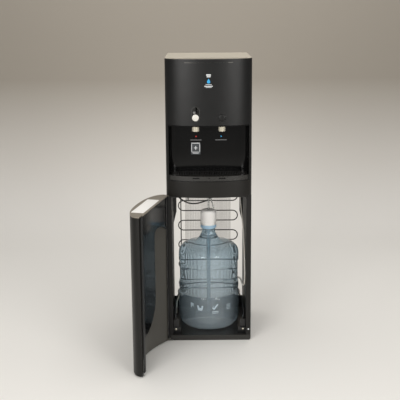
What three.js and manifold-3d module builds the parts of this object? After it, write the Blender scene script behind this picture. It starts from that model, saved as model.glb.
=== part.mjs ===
// A floor-standing, bottom-loading water dispenser with its lower door open.
// Millimetres, +Z up, the front faces -Y. The origin is the middle of the base's underside.
import * as THREE from 'three';
import { mergeVertices } from 'three/addons/utils/BufferGeometryUtils.js';
import Module from 'manifold-3d';

const wasm = await Module();
wasm.setup();

// ---- Driving dimensions: cabinet ----
const BODY_WIDTH = 355;
const BODY_DEPTH = 330;
const BODY_HEIGHT = 1228;
const LOWER_STEP = 1.5;
const LOWER_TOP = 655;
const SHEET = 2;
const SKIN = 3;
const GAP = 0.4;
const BASE_HEIGHT = 23;
const BASE_CORNER = 10;
const BASE_RIM = 12;
const PLATFORM_TOP = 20;
const SEAT_DEPTH = 2;
const POST_WIDTH = 18.6;
const POST_DEPTH = 25;
const REAR_POST_DEPTH = 14;
const REAR_PLATE_REACH = 30;
const REAR_PLATE_LOW = 437;
const REAR_PLATE_HIGH = 495;
const LINER_STANDOFF = 17.5;
const BACK_WALL_TOP = 76;
const CEILING = 636;
const TOP_THICKNESS = 12;

// ---- Driving dimensions: bowed front covers ----
const BOW = 80;
const BOW_SIDE = 14;
const BOW_POWER = 2.2;
const BOW_STEPS = 18;
const FACET_DROP = 9.5;
const MID_PANEL_LOW = 661;
const TRAY_SHELF_TOP = 731;
const FASCIA_LOW = 961;

// ---- Driving dimensions: dispensing recess ----
const RECESS_WIDTH = 330;
const RECESS_BACK = 30;
const RECESS_CORNER = 32;
const CEILING_PLATE = 4.6;
const TRAY_WIDTH = 320;
const TRAY_HEIGHT = 19;
const TRAY_RIM = 33;
const GRILLE_THICKNESS = 3.6;
const TAP_SPACING = 107;
const TAP_REACH = 50;
const SPOUT_RADIUS = 14.6;
const SPOUT_BORE = 10;
const SPOUT_DROP = 27;
const PILL_RADIUS = 17;
const PILL_HEIGHT = 62;
const PILL_LOW = 976;
const PILL_DEPTH = 19;
const BUTTON_MARGIN = 3.4;
const BUTTON_PROUD = 2;
const BUTTON_TRAVEL = 4;
const LOCK_HEIGHT = 9;
const LOCK_TRAVEL = 8;
const COLD_BUTTON_RADIUS = 15;
const LENS_WIDTH = 32;
const LENS_DEPTH = 26;

// ---- Driving dimensions: bottle and what stands on it ----
const BOTTLE_RADIUS = 135;
const BOTTLE_SETBACK = 183;
const SHOULDER_Z = 384;
const NECK_RADIUS = 30;
const NECK_TOP = 470;
const COLLAR_RADIUS = 33.6;
const COLLAR_LOW = 459;
const CAP_RADIUS = 35.5;
const CAP_LOW = 474;
const CAP_TOP = 540;
const PROBE_RADIUS = 6;
const FEED_RADIUS = 4.5;
const VENT_RADIUS = 3;
const VENT_X = 12;
const VENT_Y = -8;

// ---- Driving dimensions: door ----
const DOOR_LOW = 4.5;
const DOOR_TOP = 654.6;
const DOOR_WALL = 3.5;
const DOOR_SKIRT = 8;
const DOOR_STANDOFF = 2.4;
const DOOR_CAP = 3.8;
const DOOR_OPEN = 104.9;
const LINING_WIDTH = 344;
const LINING_EDGE = 4;
const LINING_DEPTH = 52;
const ARCH_LOW = 515;
const ARCH_RISE = 38;
const HINGE_INSET = 6.4;
const HINGE_REACH = 1.5;
const PIN_RADIUS = 2;
const PIN_CLEARANCE = 0.3;
const KNUCKLE_RADIUS = 4.4;

// ---- Driving dimensions: rear fittings ----
const COIL_SETBACK = 15;
const COIL_TUBE = 2.5;
const COIL_WIDTH = 277;
const COIL_PITCH = 47.6;
const COIL_LOW = 63;
const COIL_ROWS = 13;
const CORD_RADIUS = 3.25;
const HANK_RADIUS = 36;
const HANK_RADIAL = 7.2;
const HANK_AXIAL = 10.6;
const ROCKER_TILT = 20;

// ---- Worked out from the driving dimensions ----
const halfBody = BODY_WIDTH / 2;
const halfLower = halfBody + LOWER_STEP;
const frontY = -BODY_DEPTH / 2;
const backY = BODY_DEPTH / 2;
const bottleY = frontY + BOTTLE_SETBACK;
const upperLow = LOWER_TOP + 1;
const recessTop = FASCIA_LOW - GAP - CEILING_PLATE;
const recessBackY = frontY + RECESS_BACK;
const trayLow = TRAY_SHELF_TOP + GAP + 0.4;
const trayTop = trayLow + TRAY_HEIGHT;
const tapY = frontY - TAP_REACH;
const coilY = backY + COIL_SETBACK;
const insideHalf = halfBody - SHEET - GAP;
const linerInner = halfBody - LINER_STANDOFF;
const buttonRadius = PILL_RADIUS - BUTTON_MARGIN;

// ---- Shape helpers ----
const flat = { bevelEnabled: false, curveSegments: 6 };

function polygon(points) {
  return new THREE.Shape(points.map(([x, y]) => new THREE.Vector2(x, y)));
}

function roundedRectangle(x0, y0, x1, y1, radius) {
  const shape = new THREE.Shape();
  shape.moveTo(x0 + radius, y0);
  shape.lineTo(x1 - radius, y0);
  shape.absarc(x1 - radius, y0 + radius, radius, -Math.PI / 2, 0);
  shape.lineTo(x1, y1 - radius);
  shape.absarc(x1 - radius, y1 - radius, radius, 0, Math.PI / 2);
  shape.lineTo(x0 + radius, y1);
  shape.absarc(x0 + radius, y1 - radius, radius, Math.PI / 2, Math.PI);
  shape.lineTo(x0, y0 + radius);
  shape.absarc(x0 + radius, y0 + radius, radius, Math.PI, 1.5 * Math.PI);
  return shape;
}

function circleShape(radius, sides, x = 0, y = 0) {
  const turn = 2 * Math.PI / sides;
  const corner = (i) => [x + radius * Math.cos(i * turn), y + radius * Math.sin(i * turn)];
  return polygon(Array.from({ length: sides }, (_, i) => corner(i)));
}

// Turns a closed geometry's faces outwards.
function outward(geometry) {
  const body = geometry.index ? geometry.toNonIndexed() : geometry;
  const p = body.attributes.position;
  const [a, b, c] = [new THREE.Vector3(), new THREE.Vector3(), new THREE.Vector3()];
  let volume = 0;
  for (let i = 0; i < p.count; i += 3) {
    a.fromBufferAttribute(p, i);
    b.fromBufferAttribute(p, i + 1);
    c.fromBufferAttribute(p, i + 2);
    volume += a.dot(b.cross(c));
  }
  if (volume >= 0) return body;
  const flipped = p.array.slice();
  for (let i = 0; i < flipped.length; i += 9) {
    for (let k = 0; k < 3; k += 1) {
      [flipped[i + 3 + k], flipped[i + 6 + k]] = [flipped[i + 6 + k], flipped[i + 3 + k]];
    }
  }
  const geometryOut = new THREE.BufferGeometry();
  geometryOut.setAttribute('position', new THREE.BufferAttribute(flipped, 3));
  return geometryOut;
}

// An outline in X and Y, from one height to another.
function slab(shape, low, high) {
  return new THREE.ExtrudeGeometry(shape, { ...flat, depth: high - low }).translate(0, 0, low);
}

// An outline in X and Z, from one Y to another.
function prismY(shape, near, far) {
  const geometry = new THREE.ExtrudeGeometry(shape, { ...flat, depth: far - near });
  return geometry.rotateX(Math.PI / 2).translate(0, far, 0);
}

// An outline in Y and Z, from one X to another.
function prismX(shape, left, right) {
  const turn = new THREE.Matrix4().makeBasis(
    new THREE.Vector3(0, 1, 0), new THREE.Vector3(0, 0, 1), new THREE.Vector3(1, 0, 0));
  const geometry = new THREE.ExtrudeGeometry(shape, { ...flat, depth: right - left });
  return geometry.applyMatrix4(turn).translate(left, 0, 0);
}

function box(x0, y0, z0, x1, y1, z1) {
  const geometry = new THREE.BoxGeometry(x1 - x0, y1 - y0, z1 - z0);
  return geometry.translate((x0 + x1) / 2, (y0 + y1) / 2, (z0 + z1) / 2);
}

// A profile of [radius, height] points turned about a vertical axis.
function turned(profile, segments, x = 0, y = 0) {
  const points = profile.map(([r, z]) => new THREE.Vector2(r, z));
  return outward(new THREE.LatheGeometry(points, segments).rotateX(Math.PI / 2)).translate(x, y, 0);
}

// The same, turned about an axis along Y that passes through x and z.
function turnedY(profile, segments, x, z) {
  const points = profile.map(([r, y]) => new THREE.Vector2(r, y));
  return outward(new THREE.LatheGeometry(points, segments)).translate(x, 0, z);
}

// A path through the given points, with one step of the extrusion at each.
class Route extends THREE.Curve {
  constructor(points) {
    super();
    this.points = points;
  }

  getPoint(t) {
    const place = t * (this.points.length - 1);
    const i = Math.min(Math.floor(place), this.points.length - 2);
    return this.points[i].clone().lerp(this.points[i + 1], place - i);
  }

  getPointAt(u) {
    return this.getPoint(u);
  }

  getSpacedPoints() {
    return this.points.map((point) => point.clone());
  }

  getTangentAt(u) {
    const last = this.points.length - 1;
    const i = Math.round(u * last);
    const before = this.points[Math.max(i - 1, 0)];
    const after = this.points[Math.min(i + 1, last)];
    return after.clone().sub(before).normalize();
  }
}

function pipe(points, radius, sides) {
  const path = new Route(points);
  const settings = { steps: points.length - 1, extrudePath: path, bevelEnabled: false };
  return outward(new THREE.ExtrudeGeometry(circleShape(radius, sides), settings));
}

// A smooth tube through hand-placed points.
function hose(points, radius, sides, steps) {
  const curve = new THREE.CatmullRomCurve3(points.map((p) => new THREE.Vector3(...p)));
  return pipe(curve.getSpacedPoints(steps), radius, sides);
}

// ---- Boolean helpers ----
function solid(geometry) {
  const bare = geometry.clone();
  bare.deleteAttribute('normal');
  bare.deleteAttribute('uv');
  const merged = mergeVertices(bare, 1e-4);
  const vertProperties = new Float32Array(merged.attributes.position.array);
  const triVerts = new Uint32Array(merged.index.array);
  return new wasm.Manifold(new wasm.Mesh({ numProp: 3, vertProperties, triVerts }));
}

function cut(base, ...tools) {
  return tools.reduce((left, tool) => left.subtract(solid(tool)), base);
}

function join(...geometries) {
  return geometries.map(solid).reduce((left, right) => left.add(right));
}

function geometryOf(body) {
  const mesh = body.getMesh();
  const geometry = new THREE.BufferGeometry();
  geometry.setAttribute('position', new THREE.BufferAttribute(new Float32Array(mesh.vertProperties), 3));
  geometry.setIndex(new THREE.BufferAttribute(new Uint32Array(mesh.triVerts), 1));
  geometry.computeVertexNormals();
  return geometry;
}

// ---- Materials ----
function finish(color, roughness, metalness = 0) {
  return new THREE.MeshStandardMaterial({ color, roughness, metalness });
}

const finishes = {
  panel: finish('#3c3c39', 0.45, 0.1),
  trim: finish('#36352f', 0.5),
  fascia: finish('#383836', 0.32),
  gloss: finish('#161615', 0.15),
  top: finish('#4a4843', 0.4),
  black: finish('#141413', 0.55),
  white: finish('#e9e7e2', 0.4),
  grey: finish('#8d8b85', 0.5),
  chrome: finish('#b9b7b0', 0.12, 1),
  steel: finish('#9b9a96', 0.35, 1),
  wire: finish('#3a3832', 0.5, 0.3),
  bottle: finish('#9cc3d6', 0.08),
  collar: finish('#a9d0ea', 0.45),
  clear: finish('#d9dcd8', 0.25),
  red: finish('#b23a35', 0.3),
  blue: finish('#5b86bd', 0.3),
  rubber: finish('#191918', 0.7),
  silicone: finish('#dddbd5', 0.5),
};

// ---- Assembly groups ----
const dispenser = new THREE.Group();
const door = new THREE.Group();
const hingeX = -halfLower + HINGE_INSET;
const hingeY = frontY - HINGE_REACH;
door.position.set(hingeX, hingeY, 0);
door.rotation.z = THREE.MathUtils.degToRad(-DOOR_OPEN);
dispenser.add(door);

function part(name, shape, material, parent = dispenser) {
  const geometry = shape.isBufferGeometry ? shape : geometryOf(shape);
  const mesh = new THREE.Mesh(geometry, material);
  mesh.name = name;
  parent.add(mesh);
  return mesh;
}

// ---- Bowed outline of the front covers ----
// Every front cover is cut from this one outline, so that they close flush with each other.
function bowLine(half, inset) {
  const points = [];
  for (let i = 0; i <= BOW_STEPS; i += 1) {
    const angle = Math.PI * (1 - i / BOW_STEPS);
    const across = Math.sign(Math.cos(angle)) * Math.abs(Math.cos(angle)) ** (2 / BOW_POWER);
    const out = Math.abs(Math.sin(angle)) ** (2 / BOW_POWER);
    points.push([(half - inset) * across, frontY - BOW_SIDE - (BOW - BOW_SIDE - inset) * out]);
  }
  return points;
}

function bowOutline(half, inset, back) {
  return polygon([[-half + inset, back], ...bowLine(half, inset), [half - inset, back]]);
}

function mirrored(name, build) {
  build(name[0], -1);
  build(name[1], 1);
}

// ---- Base pan: a moulded tray that everything stands on ----
function buildBase() {
  const outline = new THREE.Shape();
  outline.moveTo(-halfLower + BASE_CORNER, 0);
  outline.lineTo(halfLower - BASE_CORNER, 0);
  outline.absarc(halfLower - BASE_CORNER, BASE_CORNER, BASE_CORNER, -Math.PI / 2, 0);
  outline.lineTo(halfLower, BASE_HEIGHT);
  outline.lineTo(-halfLower, BASE_HEIGHT);
  outline.absarc(-halfLower + BASE_CORNER, BASE_CORNER, BASE_CORNER, Math.PI, 1.5 * Math.PI);
  const inner = halfLower - BASE_RIM;
  const pocket = box(-inner, frontY + BASE_RIM / 2, SKIN, inner, backY - BASE_RIM / 2, BASE_HEIGHT + 1);
  const bracketNotch = box(hingeX - 3.2, frontY - 1, -1, hingeX + 13.4, frontY + 19.8, 4.6);
  const knuckleNotch = box(-halfLower - 1, frontY - 1, -1, hingeX + 5, hingeY + 5, BASE_HEIGHT + 1);
  part('base_pan', cut(solid(prismY(outline, frontY, backY)), pocket, bracketNotch, knuckleNotch),
    finishes.trim);

  const side = inner - GAP;
  const end = BODY_DEPTH / 2 - BASE_RIM / 2 - GAP;
  const plate = slab(roundedRectangle(-side, -end, side, end, 12), SKIN + 2, PLATFORM_TOP);
  const seat = turned([[0, PLATFORM_TOP - SEAT_DEPTH], [BOTTLE_RADIUS + 2, PLATFORM_TOP - SEAT_DEPTH],
    [BOTTLE_RADIUS + 2, PLATFORM_TOP + 1], [0, PLATFORM_TOP + 1]], 32, 0, bottleY);
  part('bottle_platform', cut(solid(plate), seat), finishes.black);
}

// ---- Lower cabinet: folded steel sides, posts and the linings of the bottle bay ----
function buildLowerCabinet() {
  const low = BASE_HEIGHT + GAP;
  const bayTop = CEILING - GAP;
  mirrored(['lower_left_side', 'lower_right_side'], (name, s) => {
    const [a, b] = [s * (halfLower - SHEET), s * halfLower].sort((m, n) => m - n);
    part(name, box(a, frontY + GAP, low, b, backY, LOWER_TOP), finishes.panel);
  });
  mirrored(['front_left_post', 'front_right_post'], (name, s) => {
    const outer = halfLower - SHEET - GAP;
    const inner = outer - POST_WIDTH;
    const rear = frontY + POST_DEPTH;
    const shape = polygon([[inner, frontY], [outer, frontY], [outer, rear], [inner, rear]]);
    shape.holes.push(polygon([[inner + SHEET, frontY + SHEET], [outer - SHEET, frontY + SHEET],
      [outer - SHEET, rear - SHEET], [inner + SHEET, rear - SHEET]]));
    if (s > 0) {
      part(name, slab(shape, low, LOWER_TOP), finishes.panel);
      return;
    }
    const knuckleNotch = box(-halfLower - 1, frontY - 1, DOOR_TOP - DOOR_CAP - 1.8, hingeX + 5, hingeY + 5,
      LOWER_TOP + 1);
    part(name, cut(solid(outward(slab(shape, low, LOWER_TOP).scale(-1, 1, 1))), knuckleNotch), finishes.panel);
  });
  mirrored(['bay_left_lining', 'bay_right_lining'], (name, s) => {
    const [a, b] = [s * linerInner, s * (linerInner + SHEET)].sort((m, n) => m - n);
    const rear = backY - REAR_POST_DEPTH - GAP;
    part(name, box(a, frontY + POST_DEPTH + GAP, low, b, rear, bayTop), finishes.panel);
  });
  mirrored(['rear_left_post', 'rear_right_post'], (name, s) => {
    const outer = halfLower - SHEET - GAP;
    const inner = linerInner + SHEET / 2;
    const reach = outer - REAR_PLATE_REACH;
    const shape = polygon([[outer, low], [outer, bayTop], [reach, bayTop], [reach, REAR_PLATE_HIGH],
      [inner, REAR_PLATE_LOW], [inner, low]]);
    const geometry = prismY(shape, backY - REAR_POST_DEPTH, backY);
    part(name, s > 0 ? outward(geometry) : outward(geometry.scale(-1, 1, 1)), finishes.black);
  });
  const wallHalf = linerInner + SHEET / 2 - GAP;
  part('lower_back_wall', box(-wallHalf, backY - 4, BASE_HEIGHT + GAP, wallHalf, backY - 2, BACK_WALL_TOP),
    finishes.panel);
  const shelfHalf = halfLower - SHEET - GAP;
  const shelfFront = frontY + POST_DEPTH + GAP;
  const shelf = join(
    box(-shelfHalf, shelfFront, CEILING, shelfHalf, backY - SHEET - 2 * GAP, CEILING + SKIN),
    box(-shelfHalf, shelfFront, CEILING, shelfHalf, shelfFront + SHEET, LOWER_TOP));
  const holes = [[FEED_RADIUS, 0, 0], [VENT_RADIUS, VENT_X, VENT_Y]].map(([radius, x, y]) => slab(
    circleShape(radius + 2, 12, x, bottleY + y), CEILING - 1, CEILING + SKIN + 1));
  part('mid_shelf', cut(shelf, ...holes), finishes.black);
}

// ---- Hinge brackets, each with its pin ----
function buildHinges() {
  const plate = (low, high) => box(hingeX - 2.6, hingeY - 3, low, hingeX + 12.8, frontY + 19.2, high);
  const pin = (low, high) => slab(circleShape(PIN_RADIUS, 16, hingeX, hingeY), low, high);
  part('lower_hinge_bracket', join(plate(1, 4), pin(3, DOOR_LOW + 9)), finishes.steel);
  const top = LOWER_TOP + GAP;
  part('upper_hinge_bracket', join(plate(top, top + 2.4), pin(DOOR_TOP - DOOR_CAP - 0.6, top + 1)),
    finishes.steel);
}

// ---- Upper housing ----
function buildUpperHousing() {
  const top = BODY_HEIGHT - TOP_THICKNESS - GAP;
  mirrored(['upper_left_side', 'upper_right_side'], (name, s) => {
    const [a, b] = [s * (halfBody - SHEET), s * halfBody].sort((m, n) => m - n);
    part(name, box(a, frontY + GAP, upperLow, b, backY, top), finishes.panel);
  });
  const panel = box(-insideHalf, backY - SHEET, CEILING, insideHalf, backY, top);
  part('upper_back_panel', cut(solid(panel), ...backPanelHoles()), finishes.panel);
  const cover = slab(roundedRectangle(-halfBody, frontY, halfBody, backY, 2), top + GAP, BODY_HEIGHT);
  const inside = box(-halfBody + SKIN, frontY + SKIN, top, halfBody - SKIN, backY - SKIN,
    BODY_HEIGHT - SKIN);
  part('top_cover', cut(solid(cover), inside), finishes.top);
  const shelf = box(-insideHalf, recessBackY + SKIN + GAP, FASCIA_LOW - 4, insideHalf,
    backY - SHEET - GAP, FASCIA_LOW - 1);
  part('tank_shelf', shelf, finishes.steel);
}

// ---- Front covers ----
function neckedOutline(back) {
  const points = [[-insideHalf, back], [-insideHalf, frontY - GAP / 2], [-halfBody, frontY - GAP / 2],
    ...bowLine(halfBody, 0), [halfBody, frontY - GAP / 2], [insideHalf, frontY - GAP / 2],
    [insideHalf, back]];
  return polygon(points);
}

function pillShape(x, low, height, radius) {
  return roundedRectangle(x - radius, low, x + radius, low + height, radius - 0.01);
}

function slopeCutter(lift) {
  const reach = BOW + 20;
  const fall = FACET_DROP * reach / BOW;
  const top = BODY_HEIGHT + lift;
  return prismX(polygon([[frontY + 20, top + 20 * FACET_DROP / BOW], [frontY - reach, top - fall],
    [frontY - reach, top + 60], [frontY + 20, top + 60]]), -halfBody - 20, halfBody + 20);
}

function buildFrontCovers() {
  const mid = cut(solid(slab(bowOutline(halfBody, 0, frontY - GAP / 2), MID_PANEL_LOW,
    TRAY_SHELF_TOP - SKIN - GAP)),
  slab(bowOutline(halfBody, SKIN, frontY + 5), MID_PANEL_LOW - 1, TRAY_SHELF_TOP - 2 * SKIN - GAP));
  part('mid_front_panel', mid, finishes.trim);

  const outer = cut(solid(slab(bowOutline(halfBody, 0, frontY - GAP / 2), FASCIA_LOW, BODY_HEIGHT)),
    slopeCutter(0));
  const inner = cut(solid(slab(bowOutline(halfBody, SKIN, frontY + 5), FASCIA_LOW - 5, BODY_HEIGHT)),
    slopeCutter(-SKIN));
  const tapX = TAP_SPACING / 2;
  const buttonZ = PILL_LOW + PILL_RADIUS;
  const pillHole = prismY(pillShape(-tapX, PILL_LOW, PILL_HEIGHT, PILL_RADIUS),
    frontY - BOW - 10, frontY - BOW + PILL_DEPTH);
  const coldHole = prismY(circleShape(COLD_BUTTON_RADIUS, 24, tapX, buttonZ), frontY - BOW - 10,
    frontY - BOW + PILL_DEPTH);
  const lensMid = frontY - BOW / 2 - 6;
  const lensHole = box(-LENS_WIDTH / 2, lensMid - LENS_DEPTH / 2, BODY_HEIGHT - 25,
    LENS_WIDTH / 2, lensMid + LENS_DEPTH / 2, BODY_HEIGHT + 5);
  part('front_fascia', cut(outer.subtract(inner), pillHole, coldHole, lensHole), finishes.fascia);

  const edge = GAP;
  const lens = cut(solid(box(-LENS_WIDTH / 2 + edge, lensMid - LENS_DEPTH / 2 + edge, BODY_HEIGHT - 14,
    LENS_WIDTH / 2 - edge, lensMid + LENS_DEPTH / 2 - edge, BODY_HEIGHT + 5)), slopeCutter(-0.3));
  part('indicator_lens', lens, finishes.clear);
}

// ---- Dispensing recess, tray and grille ----
function recessShape(half, back, radius) {
  const shape = new THREE.Shape();
  const far = frontY - BOW - 20;
  shape.moveTo(-half, far);
  shape.lineTo(half, far);
  shape.lineTo(half, back - radius);
  shape.absarc(half - radius, back - radius, radius, 0, Math.PI / 2);
  shape.lineTo(-half + radius, back);
  shape.absarc(-half + radius, back - radius, radius, Math.PI / 2, Math.PI);
  return shape;
}

// Square at the front and rounded at the back, like the recess it lies in.
function grilleShape(half, front, back) {
  const radius = RECESS_CORNER - 3;
  const shape = new THREE.Shape();
  shape.moveTo(-half, front);
  shape.lineTo(half, front);
  shape.lineTo(half, back - radius);
  shape.absarc(half - radius, back - radius, radius, 0, Math.PI / 2);
  shape.lineTo(-half + radius, back);
  shape.absarc(-half + radius, back - radius, radius, Math.PI / 2, Math.PI);
  return shape;
}

function buildRecess() {
  const block = slab(neckedOutline(recessBackY + SKIN), TRAY_SHELF_TOP - SKIN, FASCIA_LOW - GAP);
  const cavity = slab(recessShape(RECESS_WIDTH / 2, recessBackY, RECESS_CORNER), trayTop + 0.6, recessTop);
  const trayBay = slab(recessShape(TRAY_WIDTH / 2 + 1, recessBackY, 3), TRAY_SHELF_TOP, trayTop + 1);
  const holes = [-1, 1].map((s) => turned([[0, recessTop - 1], [SPOUT_RADIUS + 0.6, recessTop - 1],
    [SPOUT_RADIUS + 0.6, FASCIA_LOW + 1], [0, FASCIA_LOW + 1]], 24, s * TAP_SPACING / 2, tapY));
  part('recess_liner', cut(solid(block), cavity, trayBay, ...holes), finishes.gloss);

  const trayBack = recessBackY - 2;
  const half = TRAY_WIDTH / 2;
  const outline = solid(slab(bowOutline(halfBody, 0, trayBack), trayLow, trayTop));
  const sides = solid(box(-half, frontY - BOW - 5, trayLow - 1, half, backY, trayTop + 1));
  const grilleFront = frontY - BOW + TRAY_RIM;
  const ledge = slab(grilleShape(half - 6, grilleFront, trayBack - 3), trayTop - GRILLE_THICKNESS - 0.6,
    trayTop + 1);
  const pocket = box(-half + 12, grilleFront + 6, trayLow + SKIN, half - 12, trayBack - 9, trayTop + 1);
  const slotZ = trayLow + TRAY_HEIGHT * 0.6;
  const slots = [[-TAP_SPACING / 2, 28, 5], [0, 5, 4], [TAP_SPACING / 2, 28, 5]].map(([x, w, h]) => prismY(
    roundedRectangle(x - w / 2, slotZ - h / 2, x + w / 2, slotZ + h / 2, h / 2 - 0.01),
    frontY - BOW - 5, frontY - BOW + 12));
  part('drip_tray', cut(outline.intersect(sides), ledge, pocket, ...slots), finishes.trim);

  const gx = half - 6 - GAP;
  const gy0 = grilleFront + GAP;
  const gy1 = trayBack - 3 - GAP;
  const grilleLow = trayTop - GRILLE_THICKNESS - 0.2;
  const plate = slab(grilleShape(gx, gy0, gy1), grilleLow, trayTop - 0.2);
  const windows = [];
  const columns = 6;
  const rows = 3;
  const pitchX = (2 * gx - 12) / columns;
  const pitchY = (gy1 - gy0 - 8) / rows;
  for (let i = 0; i < columns; i += 1) {
    for (let k = 0; k < rows; k += 1) {
      const x = -gx + 6 + i * pitchX;
      const y = gy0 + 4 + k * pitchY;
      if (k === rows - 1 && (i === 0 || i === columns - 1)) continue;
      windows.push(box(x + 3, y + 3, grilleLow - 1, x + pitchX - 3, y + pitchY - 3, trayTop + 1));
    }
  }
  part('drip_grille', cut(solid(plate), ...windows), finishes.trim);
}

// ---- Taps and their controls ----
function buildTaps() {
  const spoutTop = FASCIA_LOW + 10;
  mirrored(['hot_spout', 'cold_spout'], (name, s) => {
    const low = FASCIA_LOW - SPOUT_DROP;
    const r = SPOUT_RADIUS;
    const profile = [[SPOUT_BORE, low + 1], [SPOUT_BORE + 1, low], [r - 1, low], [r, low + 1.5], [r, spoutTop],
      [SPOUT_BORE, spoutTop], [SPOUT_BORE, low + 1]];
    part(name, turned(profile, 28, s * TAP_SPACING / 2, tapY), finishes.chrome);
  });
  const bar = TAP_SPACING / 2 + 22;
  const manifold = slab(roundedRectangle(-bar, tapY - 9, bar, tapY + 24, 12), spoutTop + GAP, spoutTop + 22);
  part('tap_manifold', manifold, finishes.white);

  const tapX = TAP_SPACING / 2;
  const front = frontY - BOW;
  const floor = front + PILL_DEPTH - 3;
  const buttonZ = PILL_LOW + PILL_RADIUS;
  const rim = solid(slab(bowOutline(halfBody, -1, frontY), PILL_LOW - 5, PILL_LOW + PILL_HEIGHT + 5));
  const shell = solid(prismY(pillShape(-tapX, PILL_LOW + GAP, PILL_HEIGHT - 2 * GAP, PILL_RADIUS - GAP),
    front - 5, floor + 3)).intersect(rim);
  const hollow = prismY(pillShape(-tapX, PILL_LOW + 2.4, PILL_HEIGHT - 4.8, PILL_RADIUS - 2.4), front - 10, floor);
  part('hot_control_bezel', cut(shell, hollow), finishes.fascia);

  const pressed = floor - BUTTON_TRAVEL - 1;
  const face = front - BUTTON_PROUD + 1.6;
  const cap = (radius, x, near) => turnedY([[0, near - 1.4], [radius * 0.6, near - 1.1], [radius - 1.2, near],
    [radius, near + 1.4], [radius, pressed], [0, pressed]], 28, x, buttonZ);
  part('hot_button', cap(buttonRadius, -tapX, face), finishes.white);
  part('cold_button', cap(COLD_BUTTON_RADIUS - 0.6, tapX, face + 2.4), finishes.fascia);

  const lockLow = buttonZ + buttonRadius + 2;
  const lockHalf = PILL_RADIUS - 7;
  const lock = prismY(roundedRectangle(-tapX - lockHalf, lockLow, -tapX + lockHalf, lockLow + LOCK_HEIGHT, 3),
    front + 4, floor - 1);
  part('child_lock_slider', lock, finishes.grey);
}

// ---- Bottle, collar, probe cap and the tubes above it ----
function buildBottle() {
  const r = BOTTLE_RADIUS;
  const low = PLATFORM_TOP - SEAT_DEPTH + GAP;
  const slope = (mm) => NECK_RADIUS + (r - NECK_RADIUS) * mm / 105;
  const outer = [[0, low + 14], [r - 65, low + 8], [r - 35, low + 1], [r - 23, low], [r - 9, low + 7],
    [r - 1, low + 24],
    [r - 1, 164], [r - 4.5, 172], [r - 1, 180], [r, 192], [r - 1, 208], [r - 3.5, 222],
    [r - 3.5, 296], [r - 4.5, 302], [r, 314], [r, SHOULDER_Z - 38], [r - 5, SHOULDER_Z - 18],
    [r - 18, SHOULDER_Z - 5], [slope(66), SHOULDER_Z + 2], [slope(44), SHOULDER_Z + 8],
    [slope(26), SHOULDER_Z + 17], [slope(13), SHOULDER_Z + 31], [slope(5), SHOULDER_Z + 44], [NECK_RADIUS, SHOULDER_Z + 58], [NECK_RADIUS, NECK_TOP]];
  const probeLow = PLATFORM_TOP + 40;
  const bore = PROBE_RADIUS + 2;
  const inner = [[bore, NECK_TOP], [bore, probeLow - 2], [0, probeLow - 2]];
  part('water_bottle', turned([...outer, ...inner], 28, 0, bottleY), finishes.bottle);

  const collar = [[NECK_RADIUS + GAP, COLLAR_LOW], [COLLAR_RADIUS, COLLAR_LOW], [COLLAR_RADIUS, CAP_LOW - GAP],
    [NECK_RADIUS + GAP, CAP_LOW - GAP], [NECK_RADIUS + GAP, COLLAR_LOW]];
  part('bottle_collar', turned(collar, 28, 0, bottleY), finishes.collar);
  const guide = PROBE_RADIUS + GAP;
  const cap = [[guide, CAP_LOW], [CAP_RADIUS - 1, CAP_LOW], [CAP_RADIUS, CAP_LOW + 2], [CAP_RADIUS - 1, CAP_TOP - 6],
    [CAP_RADIUS - 6, CAP_TOP], [guide, CAP_TOP], [guide, CAP_LOW]];
  part('probe_cap', turned(cap, 28, 0, bottleY), finishes.white);
  const probeTop = CAP_TOP + 8;
  const probe = [[0, probeLow + 12], [3, probeLow + 12], [3, probeLow], [PROBE_RADIUS, probeLow],
    [PROBE_RADIUS, probeTop], [0, probeTop]];
  part('probe_tube', turned(probe, 16, 0, bottleY), finishes.clear);
  const tubeTop = CEILING + 20;
  const feed = [[0, probeTop + GAP], [FEED_RADIUS, probeTop + GAP], [FEED_RADIUS, tubeTop], [0, tubeTop]];
  part('feed_tube', turned(feed, 12, 0, bottleY), finishes.clear);
  const vent = [[22, 0, CAP_TOP + 0.6], [22, 0, CAP_TOP + 10], [19, -3, CAP_TOP + 26], [VENT_X, VENT_Y, CAP_TOP + 48],
    [VENT_X, VENT_Y, CAP_TOP + 66], [VENT_X, VENT_Y, tubeTop]];
  const ventRoute = vent.map(([x, y, z]) => [x, bottleY + y, z]);
  part('vent_tube', hose(ventRoute, VENT_RADIUS, 8, 12), finishes.clear);
}

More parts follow.
